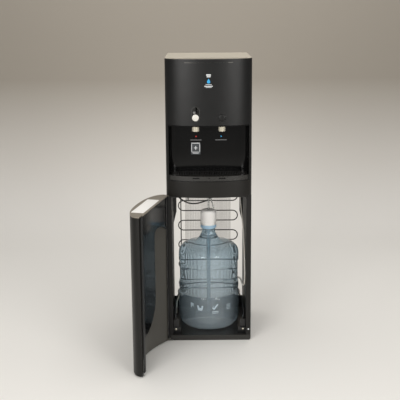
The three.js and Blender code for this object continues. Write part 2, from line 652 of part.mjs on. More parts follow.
// ---- Bottle guide: a bent rod round the back of the bottle, held by two screwed feet ----
function buildGuide() {
  const rod = 3;
  const ring = BOTTLE_RADIUS + 1.5 + rod;
  const footY = frontY + POST_DEPTH + 18;
  const footX = linerInner - 14;
  const left = [[-footX, footY, 71], [-footX - 0.4, footY, 80], [-footX - 5, footY + 6, 100], [-footX - 4, footY + 30, 124],
    [-ring - 8, bottleY - 56, 142]];
  const points = left.map((p) => new THREE.Vector3(...p));
  const turns = 12;
  for (let i = 0; i <= turns; i += 1) {
    const angle = Math.PI * (1.06 - 1.12 * i / turns);
    points.push(new THREE.Vector3(ring * Math.cos(angle), bottleY + ring * Math.sin(angle), 152));
  }
  [...left].reverse().forEach(([x, y, z]) => points.push(new THREE.Vector3(-x, y, z)));
  const curve = new THREE.CatmullRomCurve3(points, false, 'centripetal');
  part('guide_hoop', pipe(curve.getSpacedPoints(36), rod, 8), finishes.black);

  mirrored(['left_guide_foot', 'right_guide_foot'], (name, s) => {
    const wide = box(footX - 21, footY - 17, PLATFORM_TOP + GAP, footX + 13, footY + 20, 48);
    const boss = box(footX - 11, footY - 11, 40, footX + 11, footY + 11, 82);
    const bore = slab(circleShape(rod + 1.4, 12, footX, footY), 68, 90);
    const mouth = box(footX - 5, footY - 5, 77, footX + 12, footY + 12, 90);
    const body = cut(join(wide, boss), bore, mouth);
    const geometry = geometryOf(body);
    part(name, s > 0 ? geometry : outward(geometry.scale(-1, 1, 1)), finishes.black);
  });
}

// ---- White drain hose, clipped down the right lining and round the back of the bottle ----
function buildDrainHose() {
  const route = [[146, 85, 634], [146, 83, 600], [147, 72, 562], [150, 38, 516], [154, -15, 458], [155, -70, 400],
    [155, -108, 340], [155, -127, 290], [154, -124, 250], [151, -90, 224], [148, -30, 212], [146, 40, 204],
    [138, 90, 194], [118, 126, 182], [84, 149, 168], [40, 158, 150], [-10, 159, 136], [-60, 154, 124],
    [-104, 138, 112], [-134, 112, 98], [-147, 92, 78], [-149, 84, 52], [-149, 82, 21]];
  part('drain_hose', hose(route, 3, 8, 54), finishes.silicone);
}

// ---- Tanks, compressor and pump ----
function buildMachinery() {
  const shelf = FASCIA_LOW - 1 + GAP;
  const cold = [[0, shelf], [70, shelf], [75, shelf + 6], [75, shelf + 196], [60, shelf + 208], [0, shelf + 212]];
  part('cold_tank', turned(cold, 28, 76, 60), finishes.white);
  const hot = [[0, shelf], [50, shelf], [54, shelf + 5], [54, shelf + 166], [44, shelf + 178], [0, shelf + 182]];
  part('hot_tank', turned(hot, 28, -90, 60), finishes.steel);
  const floor = CEILING + SKIN + GAP;
  const dome = [[0, floor], [72, floor], [72, floor + 8], [64, floor + 14], [68, floor + 60], [70, floor + 92],
    [60, floor + 130], [36, floor + 148], [0, floor + 154]];
  part('compressor', turned(dome, 28, 80, 60), finishes.black);
  const pump = join(box(-150, 10, floor, -70, 70, floor + 56),
    box(-136, 24, floor + 50, -104, 56, floor + 96),
    slab(circleShape(9, 16, -84, 40), floor + 40, floor + 84));
  part('water_pump', pump, finishes.grey);
}

// ---- Condenser: a tube folded to and fro behind the cabinet ----
function buildCondenser() {
  const bend = COIL_PITCH / 2;
  const run = COIL_WIDTH / 2 - bend;
  const points = [];
  const riserX = -run - 12;
  const riserY = coilY - 7.5;
  const top = COIL_LOW + (COIL_ROWS - 1) * COIL_PITCH;
  const riser = [[riserX, riserY, top + 14], [riserX, riserY, COIL_LOW + 26], [riserX - 1, riserY + 1, COIL_LOW + 14],
    [riserX + 2, coilY - 3, COIL_LOW + 4], [riserX + 9, coilY, COIL_LOW]];
  riser.forEach((p) => points.push(new THREE.Vector3(...p)));
  const arcSteps = 5;
  for (let row = 0; row < COIL_ROWS; row += 1) {
    const z = COIL_LOW + row * COIL_PITCH;
    const dir = row % 2 === 0 ? 1 : -1;
    if (row > 0) points.push(new THREE.Vector3(-dir * run, coilY, z));
    else points.push(new THREE.Vector3(-dir * run + 6, coilY, z));
    points.push(new THREE.Vector3(dir * run, coilY, z));
    if (row === COIL_ROWS - 1) break;
    for (let i = 1; i < arcSteps; i += 1) {
      const angle = -Math.PI / 2 + Math.PI * i / arcSteps;
      const x = dir * (run + bend * Math.cos(angle));
      points.push(new THREE.Vector3(x, coilY, z + bend + bend * Math.sin(angle)));
    }
  }
  part('condenser_coil', pipe(points, COIL_TUBE, 6), finishes.wire);

  const foot = CEILING + 2;
  const near = backY + GAP;
  const bar = box(-run, near, foot, run, near + 2, foot + 12);
  const arms = [-1, 1].map((s) => box(s * run * 0.8 - 6, near, foot + 4, s * run * 0.8 + 6,
    coilY - COIL_TUBE - GAP, foot + 8));
  part('condenser_bracket', join(bar, ...arms), finishes.wire);
}

// ---- Rear fittings: switches, drain plug, gland, hook, mains cord and plug ----
const switchZ = 1080;
const switchX = 96;
const glandX = 40;
const glandZ = 676;

function backPanelHoles() {
  return [
    box(switchX - 30, backY - 10, switchZ - 15, switchX + 30, backY + 10, switchZ + 15),
    prismY(circleShape(9, 16, glandX, glandZ), backY - 10, backY + 10),
  ];
}

function buildRearFittings() {
  const frame = roundedRectangle(switchX - 34, switchZ - 19, switchX + 34, switchZ + 19, 4);
  const flange = prismY(frame, backY + GAP, backY + 3);
  const insert = box(switchX - 29, backY - 18, switchZ - 14, switchX + 29, backY + 1, switchZ + 14);
  const windows = [-1, 1].map((s) => box(switchX + s * 14 - 10, backY - 12, switchZ - 11,
    switchX + s * 14 + 10, backY + 10, switchZ + 11));
  part('switch_housing', cut(join(flange, insert), ...windows), finishes.black);
  mirrored(['cold_switch', 'hot_switch'], (name, s) => {
    const rocker = polygon([[-6, -8.6], [4.2, -9.6], [2.2, 0], [4.2, 9.6], [-6, 8.6]]);
    const geometry = outward(prismX(rocker, s * 14 - 9, s * 14 + 9));
    geometry.rotateX(THREE.MathUtils.degToRad(-ROCKER_TILT / 2)).translate(switchX, backY, switchZ);
    part(name, geometry, s > 0 ? finishes.red : finishes.blue);
  });

  const cordY = backY + 27;
  const stub = turnedY([[0, backY - 7], [8, backY - 7], [8, backY + 20], [0, backY + 20]], 16, glandX, glandZ);
  const collar = box(glandX - 11, backY + GAP, glandZ - 11, glandX + 11, backY + 6, glandZ + 11);
  const elbow = box(glandX - 8, backY + 16, glandZ - 8, glandX + 8, cordY + 8, glandZ + 8);
  const relief = turned([[0, glandZ - 26], [CORD_RADIUS + 1, glandZ - 26], [7.4, glandZ], [0, glandZ]], 16,
    glandX, cordY);
  part('cord_gland', join(stub, collar, elbow, relief), finishes.rubber);

  const cordStart = glandZ - 26 - GAP;
  const hank = { x: -122, y: backY + 34, z: 752 };
  const leave = hank.x - HANK_RADIUS - CORD_RADIUS;
  const arriveY = hank.y - 6.6;
  const droop = [[glandX, cordY, cordStart], [glandX, cordY, cordStart - 28], [36, cordY, 590],
    [24, cordY, 562], [3, cordY, 541], [-26, cordY, 529], [-56, cordY, 522], [-88, cordY, 524],
    [-116, cordY, 537], [-142, cordY, 560], [-157, cordY, 592], [leave, arriveY, 628],
    [leave, arriveY, 680], [leave, arriveY, 727]];
  part('power_cord', hose(droop, CORD_RADIUS, 8, 40), finishes.rubber);
  const ring = [[HANK_RADIUS - HANK_RADIAL, hank.y - HANK_AXIAL], [HANK_RADIUS + HANK_RADIAL, hank.y - HANK_AXIAL],
    [HANK_RADIUS + HANK_RADIAL, hank.y + HANK_AXIAL], [HANK_RADIUS - HANK_RADIAL, hank.y + HANK_AXIAL],
    [HANK_RADIUS - HANK_RADIAL, hank.y - HANK_AXIAL]];
  part('cord_coil', turnedY(ring, 32, hank.x, hank.z), finishes.rubber);
  const tailX = hank.x + HANK_RADIUS + CORD_RADIUS;
  const plugX = -92;
  const plugLow = 554;
  const gripTop = plugLow + 50;
  const tail = [[tailX, hank.y, 727], [tailX, hank.y, 700], [tailX - 3, hank.y, 664], [plugX + 3, hank.y, 634],
    [plugX, hank.y, gripTop + 10], [plugX, hank.y, gripTop + GAP]];
  part('cord_tail', hose(tail, CORD_RADIUS, 8, 12), finishes.rubber);
  const grip = turned([[0, gripTop], [CORD_RADIUS + 1, gripTop], [8, gripTop - 18], [0, gripTop - 18]], 16,
    plugX, hank.y);
  const body = box(plugX - 17, hank.y - 11, plugLow, plugX + 17, hank.y + 11, plugLow + 34);
  const blades = [-1, 1].map((s) => box(plugX + s * 6.3 - 0.8, hank.y - 3.2, plugLow - 17,
    plugX + s * 6.3 + 0.8, hank.y + 3.2, plugLow + 1));
  const earth = slab(circleShape(2.4, 10, plugX, hank.y + 7), plugLow - 19, plugLow + 1);
  part('mains_plug', join(grip, body, ...blades, earth), finishes.rubber);

  const armTop = hank.z + HANK_RADIUS - HANK_RADIAL - 1.4;
  const hook = polygon([[backY + GAP, armTop - 40], [backY + 4, armTop - 40], [backY + 4, armTop - 7],
    [hank.y + HANK_AXIAL + 6, armTop - 7], [hank.y + HANK_AXIAL + 6, armTop + 4],
    [hank.y + HANK_AXIAL + 2, armTop + 4], [hank.y + HANK_AXIAL + 2, armTop],
    [backY + 4, armTop], [backY + 4, armTop + 12], [backY + GAP, armTop + 12]]);
  part('cord_hook', outward(prismX(hook, hank.x - 6, hank.x + 6)), finishes.black);
}

// ---- Door, drawn closed and then swung open on its group ----
// Its lining is hollowed towards the bottle, less deeply than the outer face bows.
function liningOutline(grow) {
  const half = LINING_WIDTH / 2;
  const points = [];
  for (let i = 0; i <= BOW_STEPS; i += 1) {
    const x = half * (2 * i / BOW_STEPS - 1);
    const depth = LINING_EDGE + LINING_DEPTH * Math.cos(Math.PI / 2 * x / half);
    points.push([x, frontY - depth - grow]);
  }
  return polygon([[-half, frontY + 5], ...points, [half, frontY + 5]]);
}

function knuckle(low, high) {
  return join(
    slab(circleShape(KNUCKLE_RADIUS, 20, hingeX, hingeY), low, high),
    box(hingeX, hingeY - 12, low, hingeX + 12, frontY - 1, high));
}

function buildDoor() {
  const place = (body) => geometryOf(body).translate(-hingeX, -hingeY, 0);
  const low = DOOR_LOW;
  const shellTop = DOOR_TOP - DOOR_CAP - GAP;
  const back = frontY - DOOR_SKIRT;
  const half = halfLower - 0.4;
  const clearance = polygon([[-half - 2, back - 8], [-half, back - 7], [-half + 9, back], [-half + 9, frontY],
    [-half - 2, frontY]]);
  const corner = slab(clearance, low - 1, DOOR_TOP + 1);
  const pinHole = slab(circleShape(PIN_RADIUS + PIN_CLEARANCE, 16, hingeX, hingeY), low - 1, low + 9.6);

  const shell = cut(solid(slab(bowOutline(half, 0, back), low, shellTop)),
    slab(liningOutline(0), low - 1, shellTop + 1), corner);
  const pocket = cut(solid(slab(bowOutline(half, DOOR_WALL, back - DOOR_WALL), low - 1, shellTop - SKIN)),
    slab(liningOutline(SKIN), low - 2, shellTop + 1));
  const lug = solid(box(-half + 1.5, hingeY - 20, low, hingeX + 12, hingeY - 11, low + 10)).add(
    knuckle(low, low + 10));
  part('door_shell', place(cut(shell.subtract(pocket).add(lug), pinHole)), finishes.panel, door);

  const capLow = DOOR_TOP - DOOR_CAP;
  const plateHalf = half - 31;
  const plateFront = frontY - DOOR_STANDOFF;
  const arch = new THREE.Shape();
  arch.moveTo(-plateHalf, DOOR_TOP - 1);
  arch.lineTo(-plateHalf, ARCH_LOW);
  arch.absellipse(0, ARCH_LOW, plateHalf - 0.01, ARCH_RISE, Math.PI, 0, true);
  arch.lineTo(plateHalf, DOOR_TOP - 1);
  const plate = solid(prismY(arch, plateFront - SKIN, plateFront));
  const tab = box(hingeX + 4, back - 1, capLow, plateHalf, plateFront, DOOR_TOP);
  const cap = cut(solid(slab(bowOutline(half, 0, back), capLow, DOOR_TOP)), corner);
  const capHole = slab(circleShape(PIN_RADIUS + PIN_CLEARANCE, 16, hingeX, hingeY), capLow - 1, DOOR_TOP + 1);
  part('door_top_cap', place(cut(cap.add(solid(tab)).add(plate).add(knuckle(capLow, DOOR_TOP)), capHole)),
    finishes.top, door);

  const strip = solid(box(plateHalf + GAP, back + GAP, low + 10, plateHalf + 17, plateFront, shellTop));
  part('door_edge_strip', place(strip), finishes.rubber, door);
}

buildBase();
buildLowerCabinet();
buildHinges();
buildUpperHousing();
buildFrontCovers();
buildRecess();
buildTaps();
buildBottle();
buildGuide();
buildDrainHose();
buildMachinery();
buildCondenser();
buildRearFittings();
buildDoor();

export default dispenser;
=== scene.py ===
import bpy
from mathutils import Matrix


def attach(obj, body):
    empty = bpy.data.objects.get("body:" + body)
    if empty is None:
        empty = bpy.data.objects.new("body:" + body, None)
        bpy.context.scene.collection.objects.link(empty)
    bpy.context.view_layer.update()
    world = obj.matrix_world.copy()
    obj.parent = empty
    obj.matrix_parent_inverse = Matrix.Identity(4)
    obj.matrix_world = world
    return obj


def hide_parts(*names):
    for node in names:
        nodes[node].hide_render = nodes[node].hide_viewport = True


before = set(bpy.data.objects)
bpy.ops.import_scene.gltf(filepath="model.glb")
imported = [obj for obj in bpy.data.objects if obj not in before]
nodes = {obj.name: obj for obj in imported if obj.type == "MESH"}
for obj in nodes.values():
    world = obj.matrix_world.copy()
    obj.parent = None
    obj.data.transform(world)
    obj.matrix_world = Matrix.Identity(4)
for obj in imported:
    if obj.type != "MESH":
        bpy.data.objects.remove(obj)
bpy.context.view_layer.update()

import math

import bmesh
import bpy
from mathutils import Matrix, Vector

mm = 0.001

# ----------------------------------------
# Camera. Stands at eye level, a long way back, and looks slightly down with
# the view shifted, so that the cabinet's sides stay nearly upright.
# ----------------------------------------
camera_data = bpy.data.cameras.new("camera")
camera_data.sensor_width = 36
camera_data.lens = 67.96
camera_data.shift_y = -0.11875
camera = bpy.data.objects.new("camera", camera_data)
bpy.context.scene.collection.objects.link(camera)
camera.location = (-0.0435, -3.2485, 1.4399)
turn = Matrix.Rotation(math.radians(-0.136), 3, "Z") @ Matrix.Rotation(math.radians(78.92), 3, "X")
camera.rotation_euler = (turn @ Matrix.Rotation(math.radians(-0.405), 3, "Z")).to_euler()
bpy.context.scene.camera = camera
bpy.context.scene.view_settings.view_transform = "Standard"
bpy.context.scene.view_settings.exposure = -0.55

# ----------------------------------------
# Mains cord. A round black lead that leaves a moulded gland, hangs behind the
# condenser, and is wound into a coil on a hook with its plug hanging from it.
# ----------------------------------------


def linear(red, green, blue):
    """A colour given as 8-bit display values, as the shader's linear values."""
    def one(value):
        value /= 255
        return value / 12.92 if value <= 0.04045 else ((value + 0.055) / 1.055) ** 2.4
    return (one(red), one(green), one(blue), 1)


def smooth_line(points, count):
    """Evenly spaced points along a centripetal spline through given ones."""
    points = [Vector(p) for p in points]
    ends = [2 * points[0] - points[1], *points, 2 * points[-1] - points[-2]]
    dense = []
    for i in range(len(points) - 1):
        a, b, c, d = ends[i:i + 4]
        t = [0]
        for near, far in ((a, b), (b, c), (c, d)):
            t.append(t[-1] + max((far - near).length ** 0.5, 1e-6))
        for k in range(24):
            s = t[1] + (t[2] - t[1]) * k / 24
            ab = a.lerp(b, (s - t[0]) / (t[1] - t[0]))
            bc = b.lerp(c, (s - t[1]) / (t[2] - t[1]))
            cd = c.lerp(d, (s - t[2]) / (t[3] - t[2]))
            left = ab.lerp(bc, (s - t[0]) / (t[2] - t[0]))
            right = bc.lerp(cd, (s - t[1]) / (t[3] - t[1]))
            dense.append(left.lerp(right, (s - t[1]) / (t[2] - t[1])))
    dense.append(points[-1])
    return even_line(dense, count)


def even_line(dense, count):
    """The same line with evenly spaced points."""
    runs = [0]
    for near, far in zip(dense, dense[1:]):
        runs.append(runs[-1] + (far - near).length)
    line, i = [], 0
    for k in range(count + 1):
        goal = runs[-1] * k / count
        while i < len(dense) - 2 and runs[i + 1] < goal:
            i += 1
        span = max(runs[i + 1] - runs[i], 1e-9)
        line.append(dense[i].lerp(dense[i + 1], min(max((goal - runs[i]) / span, 0), 1)))
    return line


def line_length(points):
    return sum((far - near).length for near, far in zip(points, points[1:]))


def placed(name, data):
    """A new object that shows the data, linked to the scene."""
    piece = bpy.data.objects.new(name, data)
    bpy.context.scene.collection.objects.link(piece)
    return piece


def round_cord(name, points, radius, sides=4):
    """A curve object of one open spline with a round section, in metres."""
    data = bpy.data.curves.new(name, "CURVE")
    data.dimensions = "3D"
    data.bevel_depth = radius
    data.bevel_resolution = sides
    data.use_fill_caps = True
    spline = data.splines.new("POLY")
    spline.points.add(len(points) - 1)
    for point, place in zip(spline.points, points):
        point.co = (*place, 1)
    spline.use_smooth = True
    return placed(name, data)


def fitted(piece, material, stands_for=(), body="cabinet"):
    """Gives the piece its finish, the nodes it stands for and the body it moves with."""
    piece.data.materials.clear()
    piece.data.materials.append(material)
    if stands_for:
        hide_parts(*stands_for)
    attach(piece, body)
    return piece


def surface(name, color, roughness, *, metallic=0.0, coat=0.0, specular=0.5, grain=0.0, grain_size=0.0006,
            mottle=0.03, mottle_size=0.05, smudge=0.08, smudge_size=0.035):
    """A maker's finish: a base colour that drifts a little, a roughness broken by
    faint smudges, and a fine grain in the surface."""
    material = bpy.data.materials.new(name)
    material.use_nodes = True
    tree = material.node_tree
    shader = tree.nodes["Principled BSDF"]
    shader.inputs["Metallic"].default_value = metallic
    shader.inputs["Coat Weight"].default_value = coat
    shader.inputs["Coat Roughness"].default_value = 0.04
    shader.inputs["Specular IOR Level"].default_value = specular
    place = tree.nodes.new("ShaderNodeTexCoord")
    group = tree.nodes.new("ShaderNodeGroup")
    group.node_tree = finish_group()
    for socket, value in (("Colour", color), ("Roughness", roughness), ("Mottle", mottle),
                          ("Mottle scale", 1 / mottle_size), ("Smudge", smudge),
                          ("Smudge scale", 1 / smudge_size), ("Grain", grain),
                          ("Grain scale", 1 / grain_size)):
        group.inputs[socket].default_value = value
    tree.links.new(place.outputs["Object"], group.inputs["Place"])
    for socket in ("Base Color", "Roughness", "Normal"):
        tree.links.new(group.outputs[socket], shader.inputs[socket])
    return material


def finish_group():
    """Colour drift, smudged roughness and grain, shared by every moulded or painted finish."""
    known = bpy.data.node_groups.get("surface finish")
    if known:
        return known
    tree = bpy.data.node_groups.new("surface finish", "ShaderNodeTree")
    face = tree.interface
    face.new_socket("Place", in_out="INPUT", socket_type="NodeSocketVector")
    face.new_socket("Colour", in_out="INPUT", socket_type="NodeSocketColor")
    for name in ("Roughness", "Mottle", "Mottle scale", "Smudge", "Smudge scale", "Grain", "Grain scale"):
        face.new_socket(name, in_out="INPUT", socket_type="NodeSocketFloat")
    face.new_socket("Base Color", in_out="OUTPUT", socket_type="NodeSocketColor")
    face.new_socket("Roughness", in_out="OUTPUT", socket_type="NodeSocketFloat")
    face.new_socket("Normal", in_out="OUTPUT", socket_type="NodeSocketVector")
    new, link = tree.nodes.new, tree.links.new
    given, made = new("NodeGroupInput"), new("NodeGroupOutput")

    def texture(scale, detail):
        node = new("ShaderNodeTexNoise")
        node.inputs["Detail"].default_value = detail
        link(given.outputs["Place"], node.inputs["Vector"])
        link(given.outputs[scale], node.inputs["Scale"])
        return node.outputs["Fac"]

    def maths(operation, a, b, c=None):
        node = new("ShaderNodeMath")
        node.operation = operation
        for socket, value in zip(node.inputs, (a, b, c)):
            if value is None:
                continue
            if isinstance(value, (int, float)):
                socket.default_value = value
            else:
                link(value, socket)
        return node.outputs[0]

    drift = maths("SUBTRACT", texture("Mottle scale", 3), 0.5)
    shade = new("ShaderNodeHueSaturation")
    link(given.outputs["Colour"], shade.inputs["Color"])
    depth = maths("MULTIPLY", given.outputs["Mottle"], 4)
    link(maths("MULTIPLY_ADD", drift, depth, 1), shade.inputs["Value"])
    link(shade.outputs["Color"], made.inputs["Base Color"])
    smear = maths("SUBTRACT", texture("Smudge scale", 6), 0.5)
    spread = maths("MULTIPLY", given.outputs["Smudge"], 2)
    rough = maths("MULTIPLY_ADD", smear, spread, given.outputs["Roughness"])
    clamp = new("ShaderNodeClamp")
    link(rough, clamp.inputs["Value"])
    clamp.inputs["Min"].default_value = 0.03
    link(clamp.outputs[0], made.inputs["Roughness"])
    bump = new("ShaderNodeBump")
    bump.inputs["Distance"].default_value = 0.0002
    link(given.outputs["Grain"], bump.inputs["Strength"])
    link(texture("Grain scale", 2), bump.inputs["Height"])
    link(bump.outputs["Normal"], made.inputs["Normal"])
    return tree


cord_black = surface("cord_black", linear(24, 24, 25), 0.5, grain=0.25, grain_size=0.0009, mottle=0.05,
                     smudge=0.1)

CORD_RADIUS = 3.25
BACK = 165
gland_x, gland_z, cord_y = 40, 676, BACK + 27
cord_start = gland_z - 26 - 0.4
coil_x, coil_y, coil_z, coil_radius, layer = -122, BACK + 34, 752, 36, 3.3
arrive_y = coil_y - 2 * layer
arrive_x = coil_x - coil_radius - layer
leave_x = coil_x + coil_radius + layer
plug_x, plug_low = -92, 554
grip_top = plug_low + 50
droop = smooth_line([
    (gland_x, cord_y, cord_start), (gland_x, cord_y, cord_start - 28), (36, cord_y, 590),
    (24, cord_y, 562), (3, cord_y, 541), (-26, cord_y, 529), (-56, cord_y, 522),
    (-88, cord_y, 524), (-116, cord_y, 537), (-142, cord_y, 560), (-157, cord_y, 592),
    (arrive_x, arrive_y, 628), (arrive_x, arrive_y, 680), (arrive_x, arrive_y, 727)], 160)
layers = [(1, -2), (-1, -2), (-1, 0), (-1, 2), (1, 2), (1, 0)]
winding = []
for step in range(int(5.5 * 48) + 1):
    turns = step / 48
    lap = int(turns)
    late = min(max((turns - lap - 0.72) / 0.24, 0), 1)
    late = late * late * (3 - 2 * late)
    near, far = layers[min(lap, 5)], layers[min(lap + 1, 5)]
    out = coil_radius + layer * (near[0] + (far[0] - near[0]) * late)
    across = layer * (near[1] + (far[1] - near[1]) * late)
    angle = math.pi - 2 * math.pi * turns
    winding.append(Vector((coil_x + out * math.cos(angle), coil_y + across, coil_z + out * math.sin(angle))))
tail = smooth_line([
    (leave_x, coil_y, 727), (leave_x, coil_y, 700), (leave_x - 3, coil_y, 664), (plug_x + 3, coil_y, 634),
    (plug_x, coil_y, grip_top + 10), (plug_x, coil_y, grip_top + 0.4)], 50)
cord_line = [p * mm for p in even_line(droop + winding + tail, 620)]
mains_cord = round_cord("mains_cord", cord_line, CORD_RADIUS * mm)
fitted(mains_cord, cord_black, ["power_cord", "cord_coil", "cord_tail"])

cord_length = line_length(cord_line)
print("mains cord length", cord_length)

# ----------------------------------------
# Drain hose. A soft milky silicone tube that runs from a spigot under the
# shelf, down the lining, round the back of the bottle and into the base.
# ----------------------------------------
hose_white = surface("hose_white", linear(226, 223, 214), 0.42, specular=0.4, grain=0.1, grain_size=0.0015,
                     mottle=0.04, mottle_size=0.02)
hose_shader = hose_white.node_tree.nodes["Principled BSDF"]
hose_shader.inputs["Subsurface Weight"].default_value = 0.35
hose_shader.inputs["Subsurface Radius"].default_value = (0.004, 0.0035, 0.003)
hose_line = [p * mm for p in smooth_line([
    (146, 85, 634), (146, 83, 600), (147, 72, 562), (150, 38, 516), (154, -15, 458), (155, -70, 400),
    (155, -108, 340), (155, -127, 290), (154, -124, 250), (151, -90, 224), (148, -30, 212),
    (146, 40, 204), (138, 90, 194), (118, 126, 182), (84, 149, 168), (40, 158, 150),
    (-10, 159, 136), (-60, 154, 124), (-104, 138, 112), (-134, 112, 98), (-147, 92, 78),
    (-149, 84, 52), (-149, 82, 21)], 300)]
drain_hose = round_cord("drain_hose_tube", hose_line, 3 * mm)
fitted(drain_hose, hose_white, ["drain_hose"])
tuple(hose_line[0])
line_length(hose_line)

# ----------------------------------------
# Studio. A pale sweep of paper that turns up behind the dispenser, and soft
# boxes in front, overhead and to the sides.
# ----------------------------------------
paper = bpy.data.materials.new("paper")
paper.use_nodes = True
tree = paper.node_tree
shader = tree.nodes["Principled BSDF"]
shader.inputs["Roughness"].default_value = 0.7
shader.inputs["Specular IOR Level"].default_value = 0.2
place = tree.nodes.new("ShaderNodeTexCoord")
split = tree.nodes.new("ShaderNodeSeparateXYZ")
ramp = tree.nodes.new("ShaderNodeValToRGB")
height = tree.nodes.new("ShaderNodeMapRange")
height.inputs["From Min"].default_value = 0.0
height.inputs["From Max"].default_value = 0.9
# The paper colour darkens with height up the sweep: painted shade for the light falling off.
ramp.color_ramp.elements[0].color = linear(238, 236, 232)
ramp.color_ramp.elements[1].color = linear(158, 151, 141)
middle = ramp.color_ramp.elements.new(0.37)
middle.color = linear(212, 208, 202)
tree.links.new(place.outputs["Object"], split.inputs[0])
tree.links.new(split.outputs["Z"], height.inputs["Value"])
tree.links.new(height.outputs[0], ramp.inputs["Fac"])
tree.links.new(ramp.outputs["Color"], shader.inputs["Base Color"])
profile = [(-5.0, 0.0), (-2.0, 0.0), (0.0, 0.0), (1.2, 0.0)]
SWEEP_RADIUS = 1.2
profile += [(SWEEP_RADIUS * (1 + math.sin(a * math.pi / 24)), SWEEP_RADIUS * (1 - math.cos(a * math.pi / 24)))
            for a in range(1, 13)]
profile += [(2.4, 2.4), (2.4, 4.5)]
across = (-6, -3, 0, 3, 6)
points = [(x, y, z - 0.0005) for y, z in profile for x in across]
faces = [(k, k + 1, k + len(across) + 1, k + len(across))
         for k in range(len(points) - len(across)) if (k + 1) % len(across)]
sheet = bpy.data.meshes.new("studio_sweep")
sheet.from_pydata(points, [], faces)
sheet.materials.append(paper)
for face in sheet.polygons:
    face.use_smooth = True
placed("studio_sweep", sheet)


def soft_box(name, place, aim, width, height, power, color=(1, 1, 1)):
    data = bpy.data.lights.new(name, "AREA")
    data.shape = "RECTANGLE"
    data.size = width
    data.size_y = height
    data.energy = power
    data.color = color
    lamp = placed(name, data)
    lamp.location = place
    lamp.rotation_euler = (Vector(aim) - Vector(place)).to_track_quat("-Z", "Y").to_euler()


soft_box("front_left", (-1.6, -3.2, 1.5), (0, 0, 0.6), 1.6, 1.4, 84, (1, 0.985, 0.96))
soft_box("front_right", (1.8, -3.0, 1.4), (0, 0, 0.6), 1.4, 1.4, 62, (1, 0.985, 0.96))
soft_box("overhead", (0, -0.3, 3.4), (0, 0.2, 0), 2.6, 2.2, 75, (1, 0.99, 0.97))
soft_box("behind", (0, 0.9, 2.6), (0, 2.2, 0.3), 2.6, 0.6, 14, (1, 0.99, 0.97))
world = bpy.data.worlds.new("studio")
bpy.context.scene.world = world
world.use_nodes = True
world.node_tree.nodes["Background"].inputs["Color"].default_value = (0.9, 0.88, 0.85, 1)
world.node_tree.nodes["Background"].inputs["Strength"].default_value = 0.42

# ----------------------------------------
# Front fascia. One moulded charcoal cover that bows forward, sloped on top,
# with softly rounded edges, two control openings and a sensor window.
# ----------------------------------------
HALF, FRONT, BODY_TOP, FASCIA_LOW = 177.5, -165, 1228, 961
BOW, BOW_SIDE, BOW_POWER, FACET_DROP = 80, 14, 2.2, 9.5


def bow_line(half, inset, steps=96):
    """Points along the bowed front, from left to right, inset from the outer face."""
    line = []
    for i in range(steps + 1):
        angle = math.pi * (1 - i / steps)
        across = math.copysign(abs(math.cos(angle)) ** (2 / BOW_POWER), math.cos(angle))
        out = abs(math.sin(angle)) ** (2 / BOW_POWER)
        line.append(((half - inset) * across, FRONT - BOW_SIDE - (BOW - BOW_SIDE - inset) * out))
    return line


def bow_outline(half, inset, back):
    return [(-half + inset, back), *bow_line(half, inset), (half - inset, back)]


def prism(name, outline, low, high, axis="Z"):
    """A solid between two heights of an outline; along Y the outline is given as x and z."""
    work = bmesh.new()
    clean = [p for i, p in enumerate(outline) if (Vector(p) - Vector(outline[i - 1])).length > 1e-4]
    place = (lambda p, h: (p[0], p[1], h)) if axis == "Z" else (lambda p, h: (p[0], h, p[1]))
    ends = [[work.verts.new([v * mm for v in place(p, h)]) for p in clean] for h in (low, high)]
    work.faces.new(ends[0])
    work.faces.new(ends[1])
    for i in range(len(clean)):
        work.faces.new((ends[0][i - 1], ends[0][i], ends[1][i], ends[1][i - 1]))
    bmesh.ops.recalc_face_normals(work, faces=work.faces)
    return shown_mesh(name, work)


def shown_mesh(name, work):
    mesh = bpy.data.meshes.new(name)
    work.to_mesh(mesh)
    work.free()
    return placed(name, mesh)


def block(name, low, high):
    (x0, y0, z0), (x1, y1, z1) = low, high
    return prism(name, [(x0, y0), (x1, y0), (x1, y1), (x0, y1)], z0, z1)


def rounded_outline(x0, y0, x1, y1, radius, steps=8):
    outline = []
    for x, y, start in ((x1, y0, -90), (x1, y1, 0), (x0, y1, 90), (x0, y0, 180)):
        cx, cy = x + (radius if x == x0 else -radius), y + (radius if y == y0 else -radius)
        for k in range(steps + 1):
            angle = math.radians(start + 90 * k / steps)
            outline.append((cx + radius * math.cos(angle), cy + radius * math.sin(angle)))
    return outline


def circle_outline(x, y, radius, steps=40):
    return [(x + radius * math.cos(2 * math.pi * k / steps), y + radius * math.sin(2 * math.pi * k / steps))
            for k in range(steps)]


def settled(piece):
    """The piece with its modifiers turned into plain geometry."""
    bpy.context.view_layer.update()
    mesh = bpy.data.meshes.new_from_object(piece.evaluated_get(bpy.context.evaluated_depsgraph_get()))
    piece.modifiers.clear()
    piece.data = mesh
    return piece


def carved(piece, *tools, keep="DIFFERENCE"):
    """The piece with each tool cut away from it, or joined to it."""
    for tool in tools:
        cut = piece.modifiers.new("cut", "BOOLEAN")
        cut.operation = keep
        cut.solver = "EXACT"
        cut.object = tool
        settled(piece)
        bpy.data.objects.remove(tool)
    return piece


def eased(piece, width, segments=2, limit=30):
    """Rounds the piece's edges and evens out its shading."""
    if width:
        bevel = piece.modifiers.new("edges", "BEVEL")
        bevel.width = width * mm
        bevel.segments = segments
        bevel.limit_method = "ANGLE"
        bevel.angle_limit = math.radians(limit)
        settled(piece)
    work = bmesh.new()
    work.from_mesh(piece.data)
    for face in work.faces:
        face.smooth = True
    for edge in work.edges:
        edge.smooth = len(edge.link_faces) == 2 and edge.calc_face_angle(0) < math.radians(40)
    work.to_mesh(piece.data)
    work.free()
    normals = piece.modifiers.new("normals", "WEIGHTED_NORMAL")
    normals.keep_sharp = True
    return settled(piece)


